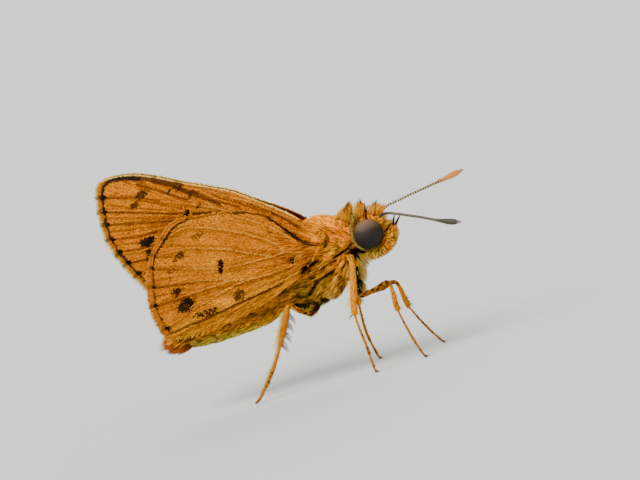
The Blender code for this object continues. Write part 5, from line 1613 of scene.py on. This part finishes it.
def wing_hair_roots(kind, side):
    """Roots of the hair on one wing, densest at the hinge and, on the hindwing, along the fold."""
    rim_knots, veins, middle_y, lines, spots, base = WINGS[kind]
    rng = np.random.default_rng(141)
    rim = closed_path(rim_knots, 0.1)
    flat = rng.uniform((-9.4, 4.4), (0.3, 10.6), (60000, 2))
    away = np.hypot(flat[:, 0] + 0.1, flat[:, 1] - 7.4)
    chance = np.exp(-((away / 1.2) ** 2))
    if kind == "hindwing":
        fold = reach(flat, WING_FOLD)
        chance = np.maximum(chance, 0.3 * np.exp(-((fold / 0.28) ** 2)))
    flat = flat[within(flat, rim) & (rng.random(len(flat)) < chance)][:ROOT_HAIR[kind]]
    ray = turned_flow(unit(flat - HAIR_CENTRE), rng.normal(0, 0.09, len(flat)))
    length = rng.uniform(0.45, 0.85, len(flat))
    surface = wing_middle(flat, veins, middle_y, 1) + WING_HALF
    tip = flat + ray * length[:, None]
    climb = wing_middle(tip, veins, middle_y, 1) + WING_HALF + rng.uniform(0.02, 0.12, len(flat)) - surface
    shade = rng.uniform(0.85, 1.6, len(flat))[:, None]
    shade *= np.where(rng.random(len(flat)) < 0.2, 0.3, 1.0)[:, None]
    tint = wing_tint(flat + ray * (0.4 * length)[:, None], veins, lines, spots, base) * shade
    span = (rim.max(0) - rim.min(0)).max()
    return {
        "points": in_space(flat, side * surface),
        "lie": in_space(tip - flat, side * climb),
        "facing": np.tile((0.0, side * 1.0, 0.0), (len(flat), 1)),
        "width": 0.033 * rng.uniform(0.6, 1.1, len(flat)),
        "tint": tint,
        "tip": wing_tint(tip, veins, lines, spots, base) * shade * 1.1,
        "uv": 0.02 + 0.46 * (flat - rim.min(0)) / span,
    }


for kind in ROOT_HAIR:
    for side_name, side in SIDES.items():
        roots = wing_hair_roots(kind, side)
        grow_coat(f"{kind}_root_hair_{side_name}", roots, HAIRS, fur, 8)

# Coats of the legs: short flat scales from the hip to the foot. Fine dark spines stand along the
# shins, and a pale fringe hangs from the middle and hind ones.
LEG_SCALES = {"foreleg": 2600, "midleg": 4200, "hindleg": 2400}
LEG_SPINES = {"foreleg": (50, 0), "midleg": (90, 90), "hindleg": (60, 260)}  # spines, hairs of the fringe
TIP_CLEARANCE = 0.03


def leg_frames(leg, count, seed, low, high, behind):
    """Random places round a leg: points, outward and forward directions, places along it."""
    path, radii, place = leg_lines[leg]
    rng = np.random.default_rng(seed)
    step = np.gradient(path, axis=0)
    along = unit(step)
    weight = np.where((place > low) & (place < high), radii * np.linalg.norm(step, axis=1), 0)
    index = rng.choice(len(path), count, p=weight / weight.sum())
    side = unit(np.cross(along[index], (0.0, 1.0, 0.0)))
    angle = rng.uniform(0, 2 * math.pi, count)
    if behind is not None:
        angle = math.pi * (1 - behind) + rng.normal(0, 0.45, count)
    outward = side * -np.cos(angle)[:, None] + np.cross(side, along[index]) * np.sin(angle)[:, None]
    centre = path[index] + along[index] * rng.uniform(-0.025, 0.025, count)[:, None]
    points = centre + outward * (radii[index] - 0.01)[:, None]
    uv = np.column_stack([(angle / (2 * math.pi)) % 1 * 0.15, index / len(path)])
    uv[:, 0] += list(LEGS).index(leg) / len(LEGS)
    return points, outward, along[index], place[index], uv, rng


def leg_batch(leg, count, seed, low, high, behind, length, width, rise, colour):
    """Roots of the scales or spines between two places on a leg, in its own tint or one colour."""
    points, outward, along, place, uv, rng = leg_frames(leg, count, seed, low, high, behind)
    foot = place > ANKLE
    length = length * np.where(foot, 0.6, 1.0) * rng.uniform(0.75, 1.2, count)
    rise = np.radians(rise) * rng.uniform(0.6, 1.4, count)
    tint = leg_tint(leg, place, points) if colour is None else np.tile(linear(colour), (count, 1))
    tint = tint * rng.uniform(0.75, 1.25, count)[:, None]
    lie = (along * np.cos(rise)[:, None] + outward * np.sin(rise)[:, None]) * length[:, None]
    lie[:, 2] = np.maximum(lie[:, 2], TIP_CLEARANCE - points[:, 2])
    return {
        "points": points,
        "lie": lie,
        "facing": outward,
        "width": width * np.where(foot, 0.7, 1.0) * rng.uniform(0.8, 1.2, count),
        "tint": tint,
        "tip": tint * 1.1,
        "uv": uv,
    }


for number, leg in enumerate(LEGS):
    pair = pair_of(leg)
    first = HIPS[pair] + 0.1
    last = len(LEGS[leg]) - 1.05
    spines, fringe = LEG_SPINES[pair]
    seed = 151 + 3 * number
    batches = [
        leg_batch(leg, LEG_SCALES[pair], seed, first, last, None, 0.15, 0.05, 8, None),
        leg_batch(leg, spines, seed + 1, KNEES[pair] + 0.3, last, 0, 0.3, 0.02, 40, "#2E2018"),
    ]
    if fringe:
        knee = KNEES[pair] + 0.1
        batches.append(leg_batch(leg, fringe, seed + 2, knee, last - 0.5, 1, 0.5, 0.02, 38, "#F0C850"))
    grow_coat("leg_scales_" + leg, merged(batches), HAIRS, scales, 9)

# Spurs and claws: movable horny spikes at the joints of the middle and hind shins, and two
# hooked claws that hold each foot to the surface it stands on.
SPURS = {"foreleg": (), "midleg": (4.95,), "hindleg": (3.75, 3.85, 3.95, 4.75, 4.85, 4.92)}
SPUR_REACH = {"midleg": (-0.84, -0.55), "hindleg": (0.6, -0.8)}
SPUR_SIZE = {"midleg": (0.6, 0.036), "hindleg": (0.68, 0.026)}
CLAW_RADIUS = 0.026
CLAW_TIP_HEIGHT = 0.02

# Horn of the spurs and claws: smooth, with a soft shine, and clouded from dark to mid brown.
horn, tree, shader = new_material("dark_horn", 0.4)
clouds = grain_of(tree, "ShaderNodeTexNoise", 0.06, "Fac", Detail=3.0)
use_ramp(tree, shader, clouds, "#241608", "#6A4018")


def spike(start, bend, tip, radius):
    """A horny spike from its socket through a bend to a sharp point."""
    path = smooth_path((start, bend, tip), 0.03)
    radii = radius * (1 - 0.9 * np.linspace(0, 1, len(path)) ** 1.5)
    return tube(path, radii, 8)


for leg in LEGS:
    pair = pair_of(leg)
    path, radii, place = leg_lines[leg]
    along = unit(np.gradient(path, axis=0))
    spikes = []
    for where in SPURS[pair]:
        i = int(np.searchsorted(place, where))
        for spread in (-0.22, 0.3):
            ahead, down = SPUR_REACH[pair]
            out = unit(np.array((ahead, spread, down)))
            length, thick = SPUR_SIZE[pair]
            length *= 0.8 + 0.25 * (7 * where % 1)
            start = path[i] + out * radii[i] * 0.6
            bend = start + out * length * 0.5
            spikes.append(spike(start, bend, bend + unit(out + along[i] * 0.3) * length * 0.5, thick))
    heading = along[-1]
    for spread in (-1, 1):
        outward = np.cross(heading, (0.0, 0.0, 1.0)) * spread
        start = path[-1] - heading * 0.06 + outward * 0.02
        bend = start + heading * 0.12 + outward * 0.05 + (0.0, 0.0, 0.03)
        tip = bend + heading * 0.08 + outward * 0.02
        tip[2] = CLAW_TIP_HEIGHT
        spikes.append(spike(start, bend, tip, CLAW_RADIUS))
    spike_mesh = mesh_from("spurs_and_claws_" + leg, *joined(spikes))
    claws = in_model(spike_mesh.name, spike_mesh, horn)
    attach(claws, "root")

# The floor: a plain pale board, wide enough to fill the picture. Its matt paint has a faint grain.
floor_bm = bmesh.new()
bmesh.ops.create_circle(floor_bm, cap_ends=True, segments=96, radius=3.0)
floor_mesh = bpy.data.meshes.new("floor")
floor_bm.to_mesh(floor_mesh)
floor_bm.free()
board, tree, shader = new_material("pale_board", 0.8)
use_ramp(tree, shader, grain_of(tree, "ShaderNodeTexNoise", 0.4, "Fac"), "#D5D6D2", "#DDDEDA")
floor_mesh.materials.append(board)
floor = shown("floor", floor_mesh)

# Studio light: a pale room, one wide soft lamp high at the front left, and a weak one behind.
room = bpy.data.worlds.new("pale_room")
room.use_nodes = True
background = room.node_tree.nodes["Background"]
background.inputs["Color"].default_value = (*linear("#F2F5F7"), 1)
background.inputs["Strength"].default_value = 0.72
bpy.context.scene.world = room
for name, energy, softness, turn in (("key", 3.8, 40, (40, -14, -28)), ("rim", 1.0, 40, (-52, 20, 10))):
    lamp = bpy.data.lights.new(name, "SUN")
    lamp.energy = energy
    lamp.angle = math.radians(softness)
    lamp_obj = shown(name, lamp)
    lamp_obj.rotation_euler = [math.radians(angle) for angle in turn]

# The camera stands at the animal's right side, a little in front and above, rolled so that the
# animal tilts as in the photo. PIXEL is the size of a pixel in millimetres, and ORIGIN_PIXEL is
# where the animal's origin shows.
AZIMUTH, ELEVATION, ROLL = (math.radians(angle) for angle in (5.0, 6.0, 15.7))
PIXEL = 0.0573
PICTURE = (640, 480)
ORIGIN_PIXEL = (356, 372)
DISTANCE = 300.0
SENSOR_WIDTH = 36.0
right = Vector((math.cos(AZIMUTH), math.sin(AZIMUTH), 0.0))
inward = Vector((-math.sin(AZIMUTH), math.cos(AZIMUTH), 0.0))
up = inward * math.sin(ELEVATION) + Vector((0.0, 0.0, math.cos(ELEVATION)))
ahead = up.cross(right)
cam_x = right * math.cos(ROLL) - up * math.sin(ROLL)
cam_y = right * math.sin(ROLL) + up * math.cos(ROLL)
target = cam_x * (PICTURE[0] / 2 - ORIGIN_PIXEL[0]) * PIXEL
target += cam_y * (ORIGIN_PIXEL[1] - PICTURE[1] / 2) * PIXEL
camera = bpy.data.cameras.new("camera")
camera.sensor_width = SENSOR_WIDTH
camera.lens = SENSOR_WIDTH * DISTANCE / (PICTURE[0] * PIXEL)
camera.clip_start = 0.01
camera_obj = shown("camera", camera)
turned = Matrix((cam_x, cam_y, -ahead)).transposed().to_4x4()
camera_obj.matrix_world = Matrix.Translation(PLACE @ (target - ahead * DISTANCE)) @ turned
bpy.context.scene.camera = camera_obj
